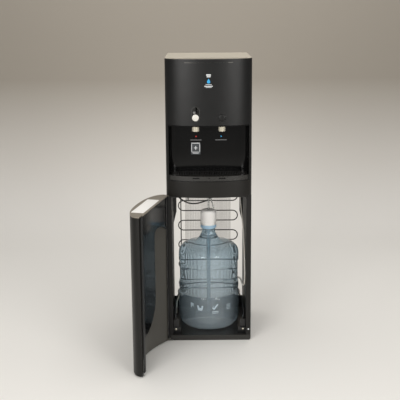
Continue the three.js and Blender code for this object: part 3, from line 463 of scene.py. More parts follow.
def second_finish_or_painted_light(piece, material, chosen):
    """Gives the chosen faces a second material: a real finish on the recess cheeks, painted light on the
    fascia's sloping top and the door lining.
    """
    piece.data.materials.append(material)
    for face in piece.data.polygons:
        if chosen(face):
            face.material_index = 1


def slope_tool(lift):
    """A wedge that takes away everything above the sloping top, moved up by the lift."""
    reach, top = BOW + 20, BODY_TOP + lift
    fall = FACET_DROP * reach / BOW
    wedge = [(FRONT + 20, top + 20 * FACET_DROP / BOW), (FRONT - reach, top - fall),
             (FRONT - reach, top + 60), (FRONT + 20, top + 60)]
    tool = prism("slope", wedge, -HALF - 20, HALF + 20, axis="Y")
    tool.data.transform(Matrix(((0, 1, 0, 0), (1, 0, 0, 0), (0, 0, 1, 0), (0, 0, 0, 1))))
    return tool


charcoal = surface("charcoal", linear(17, 17, 17), 0.38, specular=0.3, grain=0.35, grain_size=0.0007,
                   mottle_size=0.12, smudge=0.05)
TAP_X, PILL_LOW, PILL_RADIUS, PILL_HEIGHT, FACE_BACK = 53.5, 976, 17, 62, FRONT - 0.2
fascia = prism("front_fascia_cover", bow_outline(HALF, 0, FACE_BACK), FASCIA_LOW, BODY_TOP)
carved(fascia, slope_tool(0))
hollow = carved(prism("hollow", bow_outline(HALF, 3, FRONT + 5), 956, BODY_TOP), slope_tool(-3))
pill = rounded_outline(-TAP_X - PILL_RADIUS, PILL_LOW, -TAP_X + PILL_RADIUS, PILL_LOW + PILL_HEIGHT, 16.99)
carved(fascia, hollow, prism("pill", pill, -255, -226, "Y"),
       prism("round", circle_outline(TAP_X, PILL_LOW + PILL_RADIUS, 15), -255, -226, "Y"),
       block("window", (-16, -224, 1203), (16, -198, 1233)))
eased(fascia, 0.8)
fitted(fascia, charcoal, ["front_fascia"])
# The sloping top gets a far lighter colour than the charcoal cover: painted highlight for the light it
# catches from above.
facet_painted_highlight = surface("facet_painted_highlight", linear(118, 112, 102), 0.34, grain=0.3, mottle_size=0.12)
second_finish_or_painted_light(fascia, facet_painted_highlight, lambda face: face.normal.z > 0.9 and face.center.z > 1.21)

# ----------------------------------------
# Sensor window and front marks. A dark clear lens in the sloping edge, a
# small printed droplet with thin light bars above and below it, and a painted
# highlight: a pale line along the top front edge.
# ----------------------------------------


def refined(name, material, width, body="cabinet", segments=2):
    """A piece taken from the node of that name, with clean faces and rounded edges."""
    work = bmesh.new()
    work.from_mesh(nodes[name].data)
    bmesh.ops.remove_doubles(work, verts=work.verts, dist=0.00001)
    bmesh.ops.dissolve_limit(work, angle_limit=math.radians(0.5), verts=work.verts, edges=work.edges)
    piece = eased(shown_mesh(name + "_shape", work), width, segments)
    return fitted(piece, material, [name], body)


def bow_front(x):
    share = min(abs(x) / HALF, 1)
    return FRONT - BOW_SIDE - (BOW - BOW_SIDE) * (1 - share ** BOW_POWER) ** (1 / BOW_POWER)


def bow_mark(name, outline, material, lift=0.3):
    """A thin mark that follows the bowed front, for the printed marks and for the painted highlight along the
    top front edge.
    """
    mark = prism(name, outline, -lift, 0.2, axis="Y")
    for vertex in mark.data.vertices:
        vertex.co.y += bow_front(vertex.co.x / mm) * mm
    return fitted(mark, material)


def bar_outline(x0, x1, z0, z1, steps=8):
    along = [x0 + (x1 - x0) * k / steps for k in range(steps + 1)]
    return [(x, z0) for x in along] + [(x, z1) for x in reversed(along)]


smoke_lens = surface("smoke_lens", linear(62, 66, 70), 0.12, coat=0.8, mottle=0.02)
light_print = surface("light_print", linear(226, 228, 230), 0.45)
blue_print = surface("blue_print", linear(46, 158, 214), 0.4, mottle=0.05)
refined("indicator_lens", smoke_lens, 0.3)
drop = [(0.2 + 9.2 * math.sin(a) * math.sin(a / 2) ** 1.4, 1141 - 9.5 * math.cos(a))
        for a in (2 * math.pi * k / 36 for k in range(36))]
bow_mark("mark_droplet", [(-x, 2282 - z) for x, z in drop][::-1], blue_print)
for index, (x0, x1, z0, z1) in enumerate((
        (-10, 9, 1163, 1167.5), (-8, 8, 1156.5, 1160), (-12, 12, 1126.5, 1128), (-17, 16, 1119, 1122),
        (-12, 12, 1114.5, 1116))):
    bow_mark(f"mark_bar_{index + 1}", bar_outline(x0, x1, z0, z1), light_print)
# A thin pale line along the top front edge: a painted highlight where the rounded edge catches the light.
edge_painted_highlight = surface("edge_painted_highlight", linear(128, 124, 116), 0.3)
bow_mark("front_edge_painted_highlight", bar_outline(-97, 97, 1213.2, 1214.2, 60), edge_painted_highlight, 0.25)

# ----------------------------------------
# Top cover and upper sides. A pale satin lid over folded dark steel sides
# with a fine powder-coat texture.
# ----------------------------------------
lid_paint = surface("lid_paint", linear(198, 190, 174), 0.34, coat=0.25, grain=0.2,
                    mottle_size=0.15)
cabinet_paint = surface("cabinet_paint", linear(22, 21, 20), 0.44, specular=0.3, grain=0.5,
                        grain_size=0.0008, mottle=0.04, mottle_size=0.16, smudge=0.06, smudge_size=0.09)
refined("top_cover", lid_paint, 1.2, segments=3)
for side in ("upper_left_side", "upper_right_side", "lower_left_side", "lower_right_side"):
    refined(side, cabinet_paint, 0.6)
for post in ("front_left_post", "front_right_post"):
    refined(post, cabinet_paint, 0.7)

# ----------------------------------------
# Middle panel and dispensing recess. A bowed apron below the tray, and a
# glossy black niche with rounded rear corners and two spout openings.
# ----------------------------------------
gloss_black = surface("gloss_black", linear(14, 14, 14), 0.1, coat=0.1, specular=0.3, mottle=0.02,
                      mottle_size=0.1, smudge=0.04, smudge_size=0.06)
apron_plastic = surface("apron_plastic", linear(20, 18, 15), 0.4, specular=0.3, grain=0.3,
                        mottle_size=0.1)
apron = prism("middle_apron", bow_outline(HALF, 0, FACE_BACK), 661, 727.6)
carved(apron, prism("hollow", bow_outline(HALF, 3, FRONT + 5), 660, 724.6))
eased(apron, 0.9)
fitted(apron, apron_plastic, ["mid_front_panel"])


def niche_outline(half, back, radius, front=-265, steps=12):
    outline = [(-half, front), (half, front)]
    for cx, start in ((half - radius, 0), (-half + radius, 90)):
        for k in range(steps + 1):
            angle = math.radians(start + 90 * k / steps)
            outline.append((cx + radius * math.cos(angle), back - radius + radius * math.sin(angle)))
    return outline


NECK, WALL, TRAY_TOP, SPOUT_Y = 175.1, -135, 750.8, -215
liner_outline = [(-NECK, WALL + 3), (-NECK, FACE_BACK), (-HALF, FACE_BACK), *bow_line(HALF, 0),
                 (HALF, FACE_BACK), (NECK, FACE_BACK), (NECK, WALL + 3)]
liner = prism("recess_lining", liner_outline, 728, 960.6)
carved(liner,
       prism("niche", niche_outline(165, WALL, 32), TRAY_TOP + 0.6, 956),
       prism("bay", niche_outline(161, WALL, 3), 731, TRAY_TOP + 1),
       *[prism("bore", circle_outline(s * TAP_X, SPOUT_Y, 15.2, 48), 955, 962) for s in (-1, 1)])
eased(liner, 0.7)
fitted(liner, gloss_black, ["recess_liner"])
cheek = surface("cheek", linear(26, 26, 25), 0.45, specular=0.2)
second_finish_or_painted_light(liner, cheek, lambda face: abs(face.center.x) > 0.1655)


def wall_mark(name, outline, material, lift=0.3):
    return fitted(prism(name, outline, WALL - lift, WALL + 0.1, axis="Y"), material)


red_print = surface("red_print", linear(200, 52, 44), 0.4, mottle=0.05)
grey_print = surface("grey_print", linear(96, 97, 98), 0.5, mottle=0.05)
plate_print = surface("plate_print", linear(58, 62, 66), 0.35, mottle=0.05)
wall_mark("hot_marker", circle_outline(-52.5, 899, 2.6), red_print)
wall_mark("cold_marker", circle_outline(53, 899, 2.6), blue_print)
wall_mark("hot_line", rounded_outline(-76, 882, -30, 885.5, 1.2), grey_print)
wall_mark("cold_line", rounded_outline(28, 882, 76, 885.5, 1.2), grey_print)
wall_mark("notice_plate", rounded_outline(-74, 822, -34, 873, 2.5), plate_print)
for index, (x0, z0, x1, z1) in enumerate((
        (-72, 869, -36, 871.5), (-72, 834, -69.8, 866), (-38.2, 834, -36, 866), (-70, 831, -38, 833.2),
        (-66, 826, -42, 827.8), (-55.6, 842, -52.4, 858), (-61, 848.6, -47, 851.6))):
    wall_mark(f"notice_mark_{index + 1}", rounded_outline(x0, z0, x1, z1, 0.7, 4), light_print, 0.5)

# ----------------------------------------
# Drip tray and grille. A slide-out tray that carries the bow of the front,
# with three slots in its face, under a lift-out grid of slats in a frame.
# ----------------------------------------
tray_plastic = surface("tray_plastic", linear(34, 33, 31), 0.28, coat=0.2)
tray = prism("sliding_tray", bow_outline(HALF, 0, WALL - 2), 731.8, TRAY_TOP)
sides = block("sides", (-160, -260, 730), (160, 200, 752))
carved(tray, sides, keep="INTERSECT")
SLOT_Z = 743.2
slots = [rounded_outline(x - w / 2, SLOT_Z - h / 2, x + w / 2, SLOT_Z + h / 2, h / 2 - 0.01)
         for x, w, h in ((-TAP_X, 28, 5), (0, 5, 4), (TAP_X, 28, 5))]
carved(tray,
       prism("ledge", niche_outline(154, WALL - 5, 29, -212), 746.6, 752),
       block("pocket", (-148, -206, 734.8), (148, WALL - 11, 752)),
       *[prism("slot", slot, -255, -233, "Y") for slot in slots])
eased(tray, 0.8)
fitted(tray, tray_plastic, ["drip_tray"], "tray")


def rod_row_tree():
    """Rods of one span, repeated along a step, each a little out of line."""
    known = bpy.data.node_groups.get("rods in a row")
    if known:
        return known
    tree = bpy.data.node_groups.new("rods in a row", "GeometryNodeTree")
    face = tree.interface
    face.new_socket("Geometry", in_out="OUTPUT", socket_type="NodeSocketGeometry")
    for name, kind in (("Start", "Vector"), ("Step", "Vector"), ("Span", "Vector"), ("Count", "Int"),
                       ("Radius", "Float"), ("Sway", "Float"), ("Material", "Material")):
        face.new_socket(name, in_out="INPUT", socket_type="NodeSocket" + kind)
    new, link = tree.nodes.new, tree.links.new
    given, made = new("NodeGroupInput"), new("NodeGroupOutput")
    line = new("GeometryNodeMeshLine")
    link(given.outputs["Count"], line.inputs["Count"])
    link(given.outputs["Start"], line.inputs["Start Location"])
    link(given.outputs["Step"], line.inputs["Offset"])
    span = new("GeometryNodeCurvePrimitiveLine")
    link(given.outputs["Span"], span.inputs["End"])
    ring = new("GeometryNodeCurvePrimitiveCircle")
    ring.inputs["Resolution"].default_value = 8
    link(given.outputs["Radius"], ring.inputs["Radius"])
    rod = new("GeometryNodeCurveToMesh")
    rod.inputs["Fill Caps"].default_value = True
    link(span.outputs["Curve"], rod.inputs["Curve"])
    link(ring.outputs["Curve"], rod.inputs["Profile Curve"])
    sway = new("FunctionNodeRandomValue")
    sway.data_type = "FLOAT"
    sway.inputs["Seed"].default_value = 7
    minus = new("ShaderNodeMath")
    minus.operation = "MULTIPLY"
    minus.inputs[1].default_value = -1
    link(given.outputs["Sway"], minus.inputs[0])
    floats = [socket for socket in sway.inputs if socket.name in ("Min", "Max") and socket.type == "VALUE"]
    link(minus.outputs[0], floats[0])
    link(given.outputs["Sway"], floats[1])
    values = [socket for socket in sway.outputs if socket.type == "VALUE" and socket.enabled]
    shift = new("ShaderNodeCombineXYZ")
    link(values[0], shift.inputs["X"])
    moved = new("GeometryNodeSetPosition")
    link(line.outputs["Mesh"], moved.inputs["Geometry"])
    link(shift.outputs["Vector"], moved.inputs["Offset"])
    copies = new("GeometryNodeInstanceOnPoints")
    link(moved.outputs["Geometry"], copies.inputs["Points"])
    link(rod.outputs["Mesh"], copies.inputs["Instance"])
    real = new("GeometryNodeRealizeInstances")
    link(copies.outputs["Instances"], real.inputs["Geometry"])
    finish = new("GeometryNodeSetMaterial")
    link(real.outputs["Geometry"], finish.inputs["Geometry"])
    link(given.outputs["Material"], finish.inputs["Material"])
    link(finish.outputs["Geometry"], made.inputs["Geometry"])
    return tree


def rod_row(name, material, start, step, span, count, radius, sway=0.0):
    piece = placed(name, bpy.data.meshes.new(name))
    rods = piece.modifiers.new("rods", "NODES")
    rods.node_group = rod_row_tree()
    items = rods.node_group.interface.items_tree
    sockets = {item.name: item.identifier for item in items if item.in_out == "INPUT"}
    for socket, value in (("Start", [v * mm for v in start]), ("Step", [v * mm for v in step]),
                          ("Span", [v * mm for v in span]), ("Count", count), ("Radius", radius * mm),
                          ("Sway", sway * mm), ("Material", material)):
        rods[sockets[socket]] = value
    settled(piece)
    for face in piece.data.polygons:
        face.use_smooth = True
    return piece


grille_plastic = surface("grille_plastic", linear(32, 31, 30), 0.3, coat=0.15)
GRILLE_LOW, GRILLE_TOP = 747, 750.6
grille = prism("lift_out_grille", niche_outline(153.6, WALL - 5.4, 28.6, -211.6), GRILLE_LOW, GRILLE_TOP)
carved(grille, prism("opening", niche_outline(147, WALL - 12, 22, -205), GRILLE_LOW - 1, GRILLE_TOP + 1))
slats = [block("slat", (x - 1.1, -205.5, GRILLE_LOW), (x + 1.1, WALL - 11.5, GRILLE_TOP - 0.4))
         for x in (-126 + 7 * k for k in range(37))]
cross = [block("cross", (-148, y - 1.2, GRILLE_LOW), (148, y + 1.2, GRILLE_TOP - 0.8)) for y in (-187, -165)]
work = bmesh.new()
for part in (grille, *slats, *cross):
    work.from_mesh(part.data)
for part in (*slats, *cross):
    bpy.data.objects.remove(part)
work.to_mesh(grille.data)
work.free()
eased(grille, 0.35, 1)
fitted(grille, grille_plastic, ["drip_grille"], "grille")

# ----------------------------------------
# Taps and controls. Two polished spouts, a white push button in a deep oval
# bezel with a sliding child lock, and a round dark cold button.
# ----------------------------------------


def lathe(name, profile, x, y, sides=64):
    """A turned piece from a closed profile of radius and height."""
    work = bmesh.new()
    rings = []
    for radius, z in profile:
        around = circle_outline(x, y, radius, sides) if radius > 0.001 else [(x, y)]
        rings.append([work.verts.new((px * mm, py * mm, z * mm)) for px, py in around])
    for near, far in zip(rings, rings[1:]):
        for k in range(sides):
            corners = list(dict.fromkeys((near[k % len(near)], near[(k + 1) % len(near)],
                                          far[(k + 1) % len(far)], far[k % len(far)])))
            if len(corners) > 2:
                work.faces.new(corners)
    bmesh.ops.remove_doubles(work, verts=work.verts, dist=1e-6)
    bmesh.ops.recalc_face_normals(work, faces=work.faces)
    return shown_mesh(name, work)


chrome = surface("chrome", linear(206, 200, 182), 0.26, metallic=0.35, mottle=0.04, smudge=0.08,
                 smudge_size=0.01)
for name, s in (("hot_spout", -1), ("cold_spout", 1)):
    spout = lathe(name + "_tube", [(10, 935), (10.6, 934.2), (12.6, 933.9), (14, 934.6), (14.6, 936),
                                   (14.6, 971), (10, 971), (10, 935)], s * TAP_X, SPOUT_Y)
    eased(spout, 0)
    fitted(spout, chrome, [name])
button_white = surface("button_white", linear(214, 211, 204), 0.3, coat=0.2, mottle=0.02, smudge=0.04)
lock_grey = surface("lock_grey", linear(120, 120, 118), 0.4, grain=0.2)
bezel_plastic = surface("bezel_plastic", linear(64, 64, 62), 0.16, coat=0.6)
refined("hot_control_bezel", bezel_plastic, 0.4)
refined("hot_button", button_white, 0.3, "hot_button", 3)
refined("cold_button", charcoal, 0.3, "cold_button", 3)
refined("child_lock_slider", lock_grey, 0.7, "child_lock", 3)
inner_white = surface("inner_white", linear(206, 204, 198), 0.5, grain=0.2, mottle=0.06)
inner_steel = surface("inner_steel", linear(150, 150, 148), 0.3, metallic=1.0, mottle=0.08)
refined("tap_manifold", inner_white, 1)

# ----------------------------------------
# Machinery behind the covers. A foamed cold tank, a steel hot tank, a black
# compressor shell and a small pump.
# ----------------------------------------
shell_black = surface("shell_black", linear(26, 26, 27), 0.4, coat=0.2, grain=0.2, mottle=0.06)
refined("cold_tank", inner_white, 1.5)
refined("hot_tank", inner_steel, 1.5)
refined("compressor", shell_black, 1.5)
refined("water_pump", lock_grey, 1.2)
refined("tank_shelf", inner_steel, 0.3)

# ----------------------------------------
# Bottle bay. Dark linings, a thin shelf overhead, a moulded floor with a
# recessed seat, and the base pan and rear corner posts around them.
# ----------------------------------------
bay_black = surface("bay_black", linear(31, 30, 29), 0.4, coat=0.15, grain=0.3, grain_size=0.001, mottle=0.04)
base_plastic = surface("base_plastic", linear(38, 37, 34), 0.45, grain=0.5, grain_size=0.001, mottle=0.04)
for lining in ("bay_left_lining", "bay_right_lining", "lower_back_wall"):
    refined(lining, cabinet_paint, 0.4)
refined("mid_shelf", bay_black, 0.5)
for post in ("rear_left_post", "rear_right_post"):
    refined(post, bay_black, 1.0)
refined("base_pan", base_plastic, 1.2, segments=3)
refined("bottle_platform", bay_black, 1.0)
for name, x in (("platform_rib_left", -118), ("platform_rib_right", 118)):
    rib = block(name, (x - 2, -150, 19.6), (x + 2, -116, 22.4))
    fitted(eased(rib, 0.8), bay_black)


def screw_head(name, profile, place):
    """A small domed head that faces the front."""
    head = lathe(name, profile, 0, 0, 24)
    head.data.transform(Matrix.Translation(place) @ Matrix.Rotation(math.radians(-90), 4, "X"))
    return eased(head, 0)


plug_profile = [(0, -1.6), (2.6, -1.5), (3.4, -0.7), (3.6, 0.2), (0, 0.2)]
fitted(screw_head("post_plug", plug_profile, (0.1695, -0.165, 0.05)), light_print)
refined("lower_hinge_bracket", inner_steel, 0.25)
refined("upper_hinge_bracket", inner_steel, 0.25)

# ----------------------------------------
# Water bottle. A blue-tinted five-gallon bottle, full of clear water, with
# rolled ribs, a deep waist, and small white care marks printed low down.
# ----------------------------------------


def clear_surface(name, transmission, ior, tints, roughness, scale):
    """A see-through finish; gives its material, tint ramp, noise and coordinates."""
    material = bpy.data.materials.new(name)
    material.use_nodes = True
    tree = material.node_tree
    shader = tree.nodes["Principled BSDF"]
    shader.inputs["Transmission Weight"].default_value = transmission
    shader.inputs["IOR"].default_value = ior
    place = tree.nodes.new("ShaderNodeTexCoord")
    wave = tree.nodes.new("ShaderNodeTexNoise")
    wave.inputs["Scale"].default_value = scale
    tint = tree.nodes.new("ShaderNodeValToRGB")
    for element, color in zip(tint.color_ramp.elements, tints):
        element.color = color
    rough = tree.nodes.new("ShaderNodeMapRange")
    rough.inputs["To Min"].default_value, rough.inputs["To Max"].default_value = roughness
    tree.links.new(place.outputs["Object"], wave.inputs["Vector"])
    tree.links.new(tint.outputs["Color"], shader.inputs["Base Color"])
    tree.links.new(wave.outputs["Fac"], rough.inputs["Value"])
    tree.links.new(rough.outputs[0], shader.inputs["Roughness"])
    return material, tint, wave, place


water, tint, wave, place = clear_surface(
    "bottle_water", 0.78, 1.07, (linear(204, 218, 226), linear(192, 216, 230)), (0.02, 0.12), 14)
wave.inputs["Detail"].default_value = 2
tree = water.node_tree
shader = tree.nodes["Principled BSDF"]
shader.inputs["Coat Weight"].default_value = 0.7
shader.inputs["Coat Roughness"].default_value = 0.08
split = tree.nodes.new("ShaderNodeSeparateXYZ")
height = tree.nodes.new("ShaderNodeMapRange")
height.inputs["From Min"].default_value = 0.02
height.inputs["From Max"].default_value = 0.47
bump = tree.nodes.new("ShaderNodeBump")
bump.inputs["Distance"].default_value = 0.001
bump.inputs["Strength"].default_value = 0.3
tree.links.new(place.outputs["Object"], split.inputs[0])
tree.links.new(split.outputs["Z"], height.inputs["Value"])
tree.links.new(height.outputs[0], tint.inputs["Fac"])
tree.links.new(wave.outputs["Fac"], bump.inputs["Height"])
tree.links.new(bump.outputs["Normal"], shader.inputs["Normal"])
BOTTLE_Y = 18
wall_line = smooth_line([(x, 0, z) for x, z in (
    (112, 18.4), (126, 25), (132, 34), (134, 46), (134, 164), (130.5, 172), (134, 180), (135, 192),
    (134, 208), (131.5, 222), (131.5, 296), (130.5, 302), (134.6, 312), (135, 322), (135, 342), (131, 363),
    (118, 378), (96, 386), (74, 392), (56, 401), (43, 415), (35, 428), (30, 442), (30, 470))], 150)
bottle_profile = [(0, 32), (70, 26), (100, 19.4), *[(p.x, p.z) for p in wall_line],
                  (8, 470), (8, 58), (0, 58)]
bottle = lathe("bottle_of_water", bottle_profile, 0, BOTTLE_Y, 112)
eased(bottle, 0)
fitted(bottle, water, ["water_bottle"])


def bottle_mark(name, outline, material):
    """A thin print wrapped round the bottle's wall; x is measured along the wall."""
    mark = prism(name, outline, 0, 0.35, axis="Y")
    for vertex in mark.data.vertices:
        x, y, z = (v / mm for v in vertex.co)
        angle, radius = x / 134, 134.3 + y
        vertex.co = (radius * math.sin(angle) * mm, (BOTTLE_Y - radius * math.cos(angle)) * mm, z * mm)
    return fitted(mark, material)


white_print = surface("white_print", linear(236, 238, 240), 0.5)
tick = [(12, 128), (21, 117), (41, 142), (36, 145), (21, 127), (16, 132)]
cup = [(-50, 114), (-31, 114), (-26, 137), (-33, 137), (-35, 127), (-45, 127), (-47, 137), (-55, 137)]
flag = [(-87, 122), (-82, 122), (-82, 131), (-70, 128), (-73, 135), (-69, 142), (-87, 145)]
for name, outline in (("print_tick", tick), ("print_cup", cup), ("print_flag", flag)):
    bottle_mark(name, outline, white_print)
for index, (x0, x1, z0, z1) in enumerate(((12, 42, 108, 111.5), (14, 40, 102, 104.5), (80, 104, 112, 114),
                                          (80, 104, 119, 121), (80, 104, 126, 128), (80, 104, 133, 135))):
    bottle_mark(f"print_bar_{index + 1}", bar_outline(x0, x1, z0, z1), white_print)

# ----------------------------------------
# Collar, probe cap and tubes. A pale blue locking collar, a ribbed white cap
# pushed over it, the clear probe in the bottle and two clear tubes above it.
# ----------------------------------------
collar_blue = surface("collar_blue", linear(176, 210, 232), 0.35, specular=0.4, mottle=0.04)
cap_white = surface("cap_white", linear(248, 246, 243), 0.42, grain=0.15, mottle=0.02, smudge=0.04)
refined("bottle_collar", collar_blue, 0.6)


def toothed(name, count, low, high, width):
    """Small blocks in a ring about the bottle's middle."""
    for k in range(count):
        tooth = block(f"{name}_{k + 1}", low, high)
        turn = Matrix.Rotation(2 * math.pi * k / count, 4, "Z")
        tooth.data.transform(Matrix.Translation((0, BOTTLE_Y * mm, 0)) @ turn)
        yield eased(tooth, width, 1)


for tooth in toothed("collar_tooth", 24, (-1.6, 33.4, 459.6), (1.6, 35, 470), 0.4):
    fitted(tooth, collar_blue)
cap = lathe("ribbed_cap", [(6.4, 474), (34.6, 474), (35.5, 475.4), (35.5, 482), (33.6, 483.2), (33.4, 532),
                           (31.8, 536.4), (29, 539.2), (26, 540), (6.4, 540), (6.4, 474)], 0, BOTTLE_Y, 96)
fitted(eased(cap, 0), cap_white, ["probe_cap"], "probe")
for rib in toothed("cap_rib", 40, (-0.9, 33, 484), (0.9, 34.6, 530), 0.35):
    fitted(rib, cap_white, body="probe")
clear_tube, tint, wave, place = clear_surface(
    "clear_tube", 0.82, 1.25, (linear(214, 218, 218), linear(240, 242, 240)), (0.08, 0.2), 60)
clear_tube.node_tree.links.new(wave.outputs["Fac"], tint.inputs["Fac"])
for tube in ("probe_tube", "feed_tube", "vent_tube"):
    refined(tube, clear_tube, 0, "probe")

# ----------------------------------------
# Bottle guide. A bent black rod round the back of the bottle, held by two
# moulded feet that are screwed to the floor of the bay.
# ----------------------------------------
rod_black = surface("rod_black", linear(22, 22, 23), 0.32, coat=0.3)
ring, reach, foot_x, foot_y = 139.5, 56, 146, -122
left = [(-foot_x, foot_y, 71), (-foot_x - 0.4, foot_y, 80), (-foot_x - 5, foot_y + 6, 100),
        (-foot_x - 4, foot_y + 30, 124), (-ring - 8, BOTTLE_Y - reach, 142)]
hoop = [*left]
for k in range(13):
    angle = math.pi * (1.06 - 1.12 * k / 12)
    hoop.append((ring * math.cos(angle), BOTTLE_Y + ring * math.sin(angle), 152))
hoop += [(-x, y, z) for x, y, z in reversed(left)]
guide = round_cord("guide_rod", [p * mm for p in smooth_line(hoop, 220)], 3 * mm)
fitted(guide, rod_black, ["guide_hoop"])
for foot, x in (("left_guide_foot", -147), ("right_guide_foot", 147)):
    refined(foot, rod_black, 2.2, segments=3)
    screw_profile = [(0, -2), (3, -1.8), (4.4, -0.8), (4.6, 0.2), (0, 0.2)]
    fitted(screw_head(foot + "_screw", screw_profile, (x * mm, -0.139, 0.04)), chrome)

# ----------------------------------------
# Condenser. A black tube folded to and fro behind the open back, between two
# rows of thin upright wires, hung from a bracket.
# ----------------------------------------
coil_paint = surface("coil_paint", linear(20, 20, 19), 0.35, coat=0.2, mottle=0.04)
wire_paint = surface("wire_paint", linear(120, 115, 104), 0.45, mottle=0.06)
bend, low, rows, coil_at = 23.8, 63, 13, 180
run = 138.5 - bend
top = low + (rows - 1) * 2 * bend
tube_line = [(-run - 12, coil_at - 7.5, top + 14), (-run - 12, coil_at - 7.5, low + 26),
             (-run - 13, coil_at - 6.5, low + 14), (-run - 10, coil_at - 3, low + 4),
             (-run - 3, coil_at, low)]
for row in range(rows):
    z, way = low + row * 2 * bend, 1 if row % 2 == 0 else -1
    tube_line += [(-way * run + (6 if row == 0 else 0), coil_at, z), (way * run, coil_at, z)]
    if row < rows - 1:
        for k in range(1, 12):
            angle = -math.pi / 2 + math.pi * k / 12
            tube_line.append((way * (run + bend * math.cos(angle)), coil_at,
                              z + bend + bend * math.sin(angle)))
coil = round_cord("condenser_tube", [Vector(p) * mm for p in tube_line], 2.5 * mm)
fitted(coil, coil_paint, ["condenser_coil"])
for name, y in (("condenser_wires_front", coil_at - 3.2), ("condenser_wires_back", coil_at + 3.2)):
    wires = rod_row(name, wire_paint, (-106, y, 48), (5, 0, 0), (0, 0, 600), 43, 0.65, 0.35)
    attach(wires, "cabinet")
refined("condenser_bracket", coil_paint, 0.4)

# ----------------------------------------
# Rear fittings. A painted back panel with a pair of rocker switches, the cord
# gland with its tapered relief, the cord hook, a tie round the coil, the plug.
# ----------------------------------------
red_rocker = surface("red_rocker", linear(168, 34, 30), 0.3, coat=0.2)
blue_rocker = surface("blue_rocker", linear(30, 74, 160), 0.3, coat=0.2)
refined("upper_back_panel", cabinet_paint, 0.3)
refined("switch_housing", rod_black, 0.5)
refined("cold_switch", blue_rocker, 0.5, "cold_switch", 3)
refined("hot_switch", red_rocker, 0.5, "hot_switch", 3)
refined("cord_gland", cord_black, 0.9, segments=3)
refined("cord_hook", rod_black, 0.8)
plug = refined("mains_plug", cord_black, 1.2, segments=3)
louvres = [block("louvre", (-150, 164.8, z), (20, 167.2, z + 3.2)) for z in range(1130, 1186, 9)]
work = bmesh.new()
for louvre in louvres:
    work.from_mesh(louvre.data)
    bpy.data.objects.remove(louvre)
vents = eased(shown_mesh("back_louvres", work), 0.8)
fitted(vents, cabinet_paint)
tie = prism("cord_tie", rounded_outline(-7, -12.4, 7, 12.4, 5), -3, 3, axis="Y")
tie_hole = prism("hole", rounded_outline(-5.6, -11, 5.6, 11, 4), -4, 4, axis="Y")
carved(tie, tie_hole)
tie.data.transform(Matrix.Translation((-0.122, 0.199, 0.7165)) @ Matrix.Rotation(math.radians(90), 4, "Z"))
fitted(eased(tie, 0.5), cord_black)

# ----------------------------------------
# Door. A bowed double-walled shell, open below, with a hollowed lining in grey
# that is a painted reflection, a pale cap with a blank white label, a glossy
# black arched sheet on the lining that is painted shade, and an edge strip.
# ----------------------------------------
AXIS, OPENING = (-172.6, -166.5), 104.9
HINGE = Vector((-0.1726, -0.1665, 0))
TURN = Matrix.Rotation(math.radians(-OPENING), 4, "Z")
SWING = Matrix.Translation(HINGE) @ TURN @ Matrix.Translation(-HINGE)
DOOR_LOW, DOOR_TOP, DOOR_HALF = 4.5, 654.6, 178.6
SHELL_TOP, CAP_LOW, LINING_HALF, LINING_RISE = 650.4, 650.8, 172, 52


def lining_outline(grow, steps=48):
    line = []
    for k in range(steps + 1):
        x = LINING_HALF * (2 * k / steps - 1)
        line.append((x, FRONT - 4 - LINING_RISE * math.cos(math.pi / 2 * x / LINING_HALF) - grow))
    return [(-LINING_HALF, FRONT + 5), *line, (LINING_HALF, FRONT + 5)]


def swung(piece, material, stands_for=()):
    piece.data.transform(SWING)
    return fitted(piece, material, stands_for, "door")


def corner_tool():
    outline = [(-181, -181), (-178.6, -180), (-169.6, -173), (-169.6, -165), (-181, -165)]
    return prism("corner", outline, 3, 656)


def knuckle(low, high):
    hub = prism("hub", circle_outline(*AXIS, 4.4, 28), low, high)
    return carved(hub, block("web", (AXIS[0], -178.5, low), (-160.6, -166, high)), keep="UNION")


def pin_tool(low, high):
    return prism("pin", circle_outline(*AXIS, 2.3, 24), low, high)


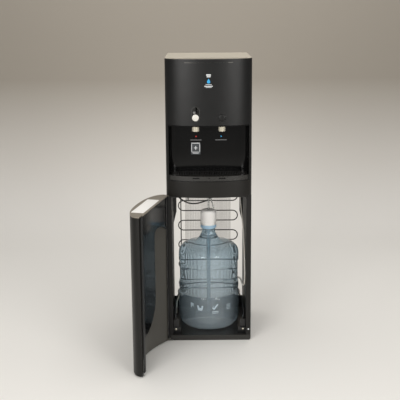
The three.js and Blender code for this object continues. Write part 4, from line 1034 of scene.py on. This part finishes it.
door_paint = surface("door_paint", linear(19, 18, 16), 0.38, specular=0.3, grain=0.35, grain_size=0.0008,
                     mottle_size=0.14, smudge=0.05)
door_shell = prism("door_double_shell", bow_outline(DOOR_HALF, 0, -173), DOOR_LOW, SHELL_TOP)
carved(door_shell, prism("lining", lining_outline(0), 3.5, 651.4), corner_tool())
inside = prism("inside", bow_outline(DOOR_HALF, 3.5, -176.5), 3.5, 647.4)
carved(inside, prism("core", lining_outline(3), 2.5, 651.4), corner_tool())
carved(door_shell, inside)
carved(door_shell, block("lug", (-177.1, -186.5, DOOR_LOW), (-160.6, -177.5, DOOR_LOW + 10)),
       knuckle(DOOR_LOW, DOOR_LOW + 10), keep="UNION")
carved(door_shell, pin_tool(3.5, 14.1))
swung(eased(door_shell, 0.7), door_paint, ["door_shell"])
# The door lining is mid grey against the near-black shell: painted reflection of the bright surroundings in
# its satin face.
lining_painted_reflection = surface("lining_painted_reflection", linear(76, 74, 69), 0.4, grain=0.35, grain_size=0.001)
CLOSE = SWING.inverted()


def on_lining(face):
    x, y, z = (v / mm for v in CLOSE @ face.center)
    bow = LINING_RISE * math.cos(math.pi / 2 * x / LINING_HALF)
    return abs(x) < LINING_HALF - 0.5 and y > FRONT - 5 - bow


second_finish_or_painted_light(door_shell, lining_painted_reflection, on_lining)

cap_paint = surface("cap_paint", linear(128, 121, 110), 0.36, coat=0.15, grain=0.25,
                    mottle_size=0.1)
painted_shade_gloss = surface("painted_shade_gloss", linear(9, 10, 11), 0.12, specular=0.12, mottle=0.02)
door_cap = prism("door_cap", bow_outline(DOOR_HALF, 0, -173), CAP_LOW, DOOR_TOP)
carved(door_cap, corner_tool())
carved(door_cap, block("tab", (-168.6, -174, CAP_LOW), (147.6, -167.4, DOOR_TOP)), knuckle(CAP_LOW, DOOR_TOP),
       keep="UNION")
carved(door_cap, pin_tool(CAP_LOW - 1, DOOR_TOP + 1))
swung(eased(door_cap, 0.9, 3), cap_paint, ["door_top_cap"])
# A glossy near-black arched sheet laid on the lining, its outline following a dark area: painted shade on the
# door's inside.
edge = smooth_line([(x, 0, z) for x, z in (
    (-147.6, 512), (-110, 533), (-60, 548), (-20, 552), (4, 545), (12, 525), (12, 470), (12, 340), (14, 260),
    (30, 218), (60, 188), (98, 168), (147.6, 158))], 90)
arch = [(-147.6, 650.6), *[(p.x, p.z) for p in edge], (147.6, 650.6)]
plate = prism("arched_painted_shade", arch, -170.4, -167.4, axis="Y")
swung(eased(plate, 0.6), painted_shade_gloss)
label_paper = surface("label_paper", linear(248, 246, 242), 0.55, grain=0.15, mottle=0.02)
label = prism("door_label", rounded_outline(-86, -227, 118, -176, 2), DOOR_TOP - 0.05, DOOR_TOP + 0.35)
swung(label, label_paper)
strip_black = surface("strip_black", linear(30, 30, 31), 0.4, grain=0.2, mottle=0.06)
seal = block("hinge_side_seal", (-170, -169.5, 16), (-158, -166.6, 648))
swung(eased(seal, 0.8), strip_black)
strip = block("door_strip", (148, -172.6, 14.5), (164.6, -167.4, SHELL_TOP))
swung(eased(strip, 0.9), strip_black, ["door_edge_strip"])
